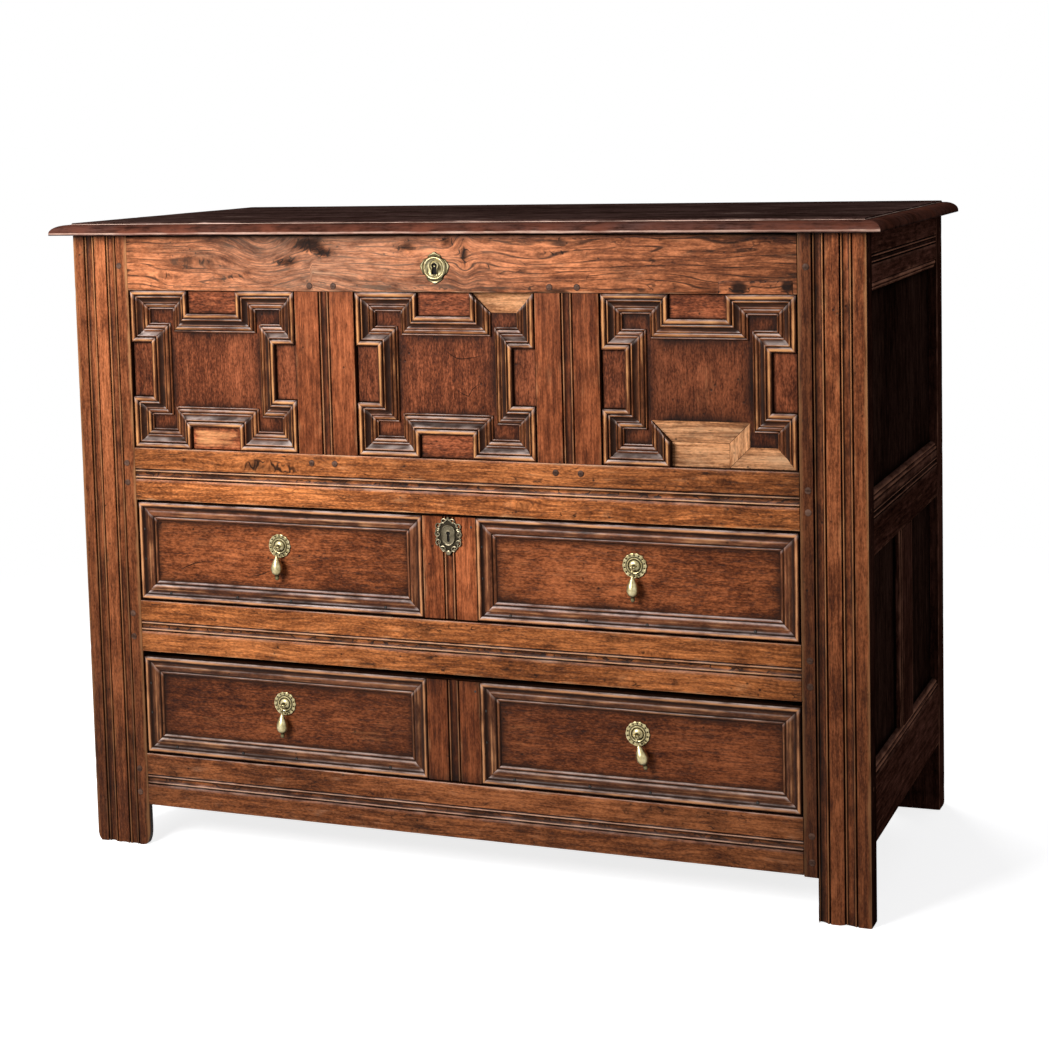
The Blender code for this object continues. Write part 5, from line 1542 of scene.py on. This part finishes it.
drawerPlate = {
    "x": 0.0, "z": 0.510, "keyRadius": 0.0030, "slotHalf": 0.0016, "slotFoot": 0.0022, "keyRise": 0.0045,
    "drop": 0.0125, "groundHalf": 0.0182, "groundDown": 0.0268, "groundUp": 0.0190, "ground": 0.0006,
    "shield": 0.0014, "shieldHalf": 0.0120, "waist": 0.0014, "shieldDown": 0.0185, "shieldUp": 0.0125,
    "wire": 0.0012, "wireHalf": (0.0172, 0.0232), "wireSet": 0.0009,
    # cast scrolls of one side: place, radius, first angle, turns and thickness
    "scrolls": ((0.0150, 0.0150, 0.0052, -0.6 * pi, 1.15, 0.0012),
                (0.0162, 0.0030, 0.0050, 0.6 * pi, -1.1, 0.0012),
                (0.0150, -0.0090, 0.0050, -0.4 * pi, 1.1, 0.0012),
                (0.0070, 0.0215, 0.0044, 0.9 * pi, -1.0, 0.0011),
                (0.0085, -0.0190, 0.0046, 0.25 * pi, 1.1, 0.0011)),
    "studs": ((0.0, 0.0262, 0.0026), (0.0, -0.0240, 0.0042), (-0.0185, 0.0085, 0.0021),
              (0.0185, 0.0085, 0.0021), (-0.0185, -0.0040, 0.0021), (0.0185, -0.0040, 0.0021)),
    "studRise": 0.0026, "scrollSet": 0.0011, "scrollRise": 0.0005, "curl": 0.72, "taper": 0.35,
}


def shieldRim(angle):
    # a shield with a waist, taller than wide
    wide = drawerPlate["shieldHalf"] + drawerPlate["waist"] * cos(2 * angle)
    tall = drawerPlate["shieldDown"] if cos(angle) > 0 else drawerPlate["shieldUp"]
    return 1.0 / sqrt((sin(angle) / wide) ** 2 + (cos(angle) / tall) ** 2)


# a dark plate under the shield and scrolls: painted shade in the gaps of the cast work
def shadeBackingRim(angle):
    wave = 1 + 0.04 * cos(10 * angle)
    tall = drawerPlate["groundDown"] if cos(angle) > 0 else drawerPlate["groundUp"]
    return wave / sqrt((sin(angle) / drawerPlate["groundHalf"]) ** 2 + (cos(angle) / tall) ** 2)


def shadeBackingRelief(x, z, fromKey, fromRim):
    return drawerPlate["ground"] - 0.0003 * exp(-fromRim / 0.0006), -0.35


def shieldRelief(x, z, fromKey, fromRim):
    border = hump(fromRim - 0.0010, 0.0008)
    lip = exp(-fromKey / 0.0009)
    height = drawerPlate["shield"] + 0.0010 * border + 0.0004 * lip - 0.0010 * exp(-fromRim / 0.0004)
    return height, 0.05 + 0.7 * border + 0.3 * lip


pile = newPile()
plateY = frontY + drawers["stripSet"] - 0.0002
plateCentre = (drawerPlate["x"], plateY, drawerPlate["z"])
keyPlate(pile, drawerPlate, shadeBackingRim, plateCentre, shadeBackingRelief, 8, 96)
keyPlate(pile, drawerPlate, shieldRim, plateCentre, shieldRelief, 12, 96)


def scroll(pile, x, z, radius, first, turns, thick, mirror, count=22):
    # a tapering scroll of cast strapwork
    path = []
    for i in range(count):
        t = i / (count - 1)
        angle = first + turns * 2 * pi * t
        r = radius * (1 - drawerPlate["curl"] * t)
        y = plateY - drawerPlate["scrollSet"] - drawerPlate["scrollRise"] * t
        path.append((drawerPlate["x"] + mirror * (x + r * cos(angle)), y,
                     drawerPlate["z"] + z + r * sin(angle)))
    wire(pile, path, lambda t: thick * (1 - drawerPlate["taper"] * t), 8, 0.5)


for mirror in (-1, 1):
    for curl in drawerPlate["scrolls"]:
        scroll(pile, *curl, mirror)
ringPath = []
wide, tall = drawerPlate["wireHalf"]
for i in range(64):
    angle = 2 * pi * i / 64
    r = 1 + 0.05 * cos(8 * angle)
    ringPath.append((drawerPlate["x"] + wide * r * sin(angle), plateY - drawerPlate["wireSet"],
                     drawerPlate["z"] + tall * r * cos(angle)))
wire(pile, ringPath, drawerPlate["wire"], 8, 0.3, True)
for x, z, r in drawerPlate["studs"]:
    pegHead(pile, (drawerPlate["x"] + x, plateY, drawerPlate["z"] + z), frontAxes, r, drawerPlate["studRise"],
            x * 50, 14)
makePiece("drawer_key_shield", pile, dullBrass, "drawer_upper", ("drawer_key_plate",), 40,
          paintedLighting=1.3)

# the lock's iron behind each keyhole, dark and darkened further as a painted shade inside the hole
keyholeIronsAndShade = {
    "lid_lock_case": (lockPlate, 0.0, "carcase"),
    "drawer_lock_case": (drawerPlate, drawers["stripSet"], "drawer_upper"),
}
ironSize = {"half": 0.0052, "down": 0.0115, "up": 0.0095, "front": -0.0001, "back": 0.0006, "wear": -1.0}
for name, (spec, behind, body) in keyholeIronsAndShade.items():
    pile = newPile()
    plate(pile, steps(spec["x"] - ironSize["half"], spec["x"] + ironSize["half"], 0.0026),
          steps(spec["z"] - ironSize["down"], spec["z"] + ironSize["up"], 0.003), onFrontAlongX,
          even(behind + ironSize["front"]), even(behind + ironSize["back"]), even(ironSize["wear"]),
          rough=0.0)
    makePiece(name, pile, darkIron, body)
print("key plates done")


# boards and irons that keep their CAD shape

keptFinish = {
    "well_floor": insideOak["X"],
    "hinge_leaf_left": darkIron, "hinge_leaf_right": darkIron,
    "hinge_strap_left": darkIron, "hinge_strap_right": darkIron,
}
for place in ("upper", "lower"):
    keptFinish["drawer_" + place + "_back"] = insideOak["X"]
    keptFinish["drawer_" + place + "_bottom"] = insideOak["X"]
    for hand, sign in hands:
        keptFinish["drawer_" + place + "_side_" + hand] = insideOak["Y"]
        keptFinish["runner_" + place + "_" + hand] = insideOak["Y"]
for node, finish in keptFinish.items():
    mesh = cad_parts[node].data
    mesh.materials.clear()
    mesh.materials.append(finish)
print("kept boards finished")


# floor, light and camera

studio = {
    "floorHalf": 9.0, "floorColour": (0.80, 0.80, 0.80), "floorGlow": 0.80, "floorBounce": (0.22, 0.21, 0.20),
    "nearWhite": 0.95, "farWhite": 2.4,
    "ambient": (0.17, 0.17, 0.18), "white": (1.0, 1.0, 1.0, 1.0),
    # place, size, power and target
    "lamps": {
        "keySoftbox": ((-0.80, -2.10, 1.50), 0.95, 53.0, (-0.05, -0.27, 0.62)),
        "fillSoftbox": ((2.6, -2.4, 1.5), 1.6, 5.0, (0.0, 0.0, 0.50)),
        "rearSoftbox": ((-1.3, 2.6, 2.0), 1.4, 34.0, (0.0, 0.0, 0.50)),
    },
}


def seenDirectly(tree):
    # camera, mirror and glass rays see the white surroundings
    path = tree.nodes.new("ShaderNodeLightPath")
    seen = figured(tree, "MAXIMUM", path.outputs["Is Camera Ray"], path.outputs["Is Glossy Ray"])
    return figured(tree, "MAXIMUM", seen, path.outputs["Is Transmission Ray"])


world = bpy.data.worlds.new("studio")
world.use_nodes = True
bpy.context.scene.world = world
tree = world.node_tree
tree.nodes.clear()
dim = addNode(tree, "Background", {"Color": (*studio["ambient"], 1.0), "Strength": 1.0})
white = addNode(tree, "Background", {"Color": studio["white"], "Strength": 1.0})
blend = addNode(tree, "MixShader", {0: seenDirectly(tree), 1: dim, 2: white})
output = tree.nodes.new("ShaderNodeOutputWorld")
tree.links.new(blend, output.inputs["Surface"])

half = studio["floorHalf"]
floorMesh = bpy.data.meshes.new("floor")
corners = [(-half, -half, 0.0), (half, -half, 0.0), (half, half, 0.0), (-half, half, 0.0)]
floorMesh.from_pydata(corners, [], [(0, 1, 2, 3)])
floor = bpy.data.objects.new("floor", floorMesh)
bpy.context.scene.collection.objects.link(floor)
floorPaper = bpy.data.materials.new("floorPaper")
floorPaper.use_nodes = True
tree = floorPaper.node_tree
tree.nodes.clear()
seen = seenDirectly(tree)
paper = mixed(tree, seen, (*studio["floorBounce"], 1.0), (*studio["floorColour"], 1.0))
diffuse = addNode(tree, "BsdfDiffuse", {"Color": paper})
strength = figured(tree, "MULTIPLY", seen, studio["floorGlow"])
glow = addNode(tree, "Emission", {"Color": studio["white"], "Strength": strength})
near = addNode(tree, "AddShader", {0: diffuse, 1: glow})
far = addNode(tree, "Emission", {"Color": studio["white"], "Strength": seen})
spot = addNode(tree, "NewGeometry", None, "Position")
away = addNode(tree, "VectorMath", {0: spot}, "Value", operation="LENGTH")
fade = ranged(tree, away, studio["nearWhite"], studio["farWhite"])
output = tree.nodes.new("ShaderNodeOutputMaterial")
tree.links.new(addNode(tree, "MixShader", {0: fade, 1: near, 2: far}), output.inputs["Surface"])
floorMesh.materials.append(floorPaper)

for name, (place, size, power, target) in studio["lamps"].items():
    lamp = bpy.data.lights.new(name, "AREA")
    lamp.shape = "SQUARE"
    lamp.size = size
    lamp.energy = power
    holder = bpy.data.objects.new(name, lamp)
    bpy.context.scene.collection.objects.link(holder)
    holder.location = place
    holder.rotation_euler = (Vector(target) - Vector(place)).to_track_quat("-Z", "Y").to_euler()
    holder.visible_camera = False

view = {
    "place": (1.1871, -3.0004, 1.0900), "yaw": 0.3711, "pitch": -0.0928, "roll": -0.0237,
    "focus": 2097.68, "frame": 1049.0, "drop": 200.0,  # in pixels of the frame
    "sensor": 36.0,
}
cameraData = bpy.data.cameras.new("camera")
camera = bpy.data.objects.new("camera", cameraData)
bpy.context.scene.collection.objects.link(camera)
right = Vector((cos(view["yaw"]), sin(view["yaw"]), 0.0))
ahead = Vector((-sin(view["yaw"]), cos(view["yaw"]), 0.0))
up = Vector((0.0, 0.0, 1.0))
forward = cos(view["pitch"]) * ahead + sin(view["pitch"]) * up
upward = -sin(view["pitch"]) * ahead + cos(view["pitch"]) * up
rollRight = cos(view["roll"]) * right + sin(view["roll"]) * upward
rollUp = -sin(view["roll"]) * right + cos(view["roll"]) * upward
turn = Matrix((rollRight, rollUp, -forward)).transposed().to_4x4()
camera.matrix_world = Matrix.Translation(view["place"]) @ turn
cameraData.sensor_width = view["sensor"]
cameraData.lens = view["focus"] / view["frame"] * view["sensor"]
cameraData.shift_y = -view["drop"] / view["frame"]
bpy.context.scene.camera = camera
bpy.context.scene.view_settings.view_transform = "Standard"
print("studio ready")
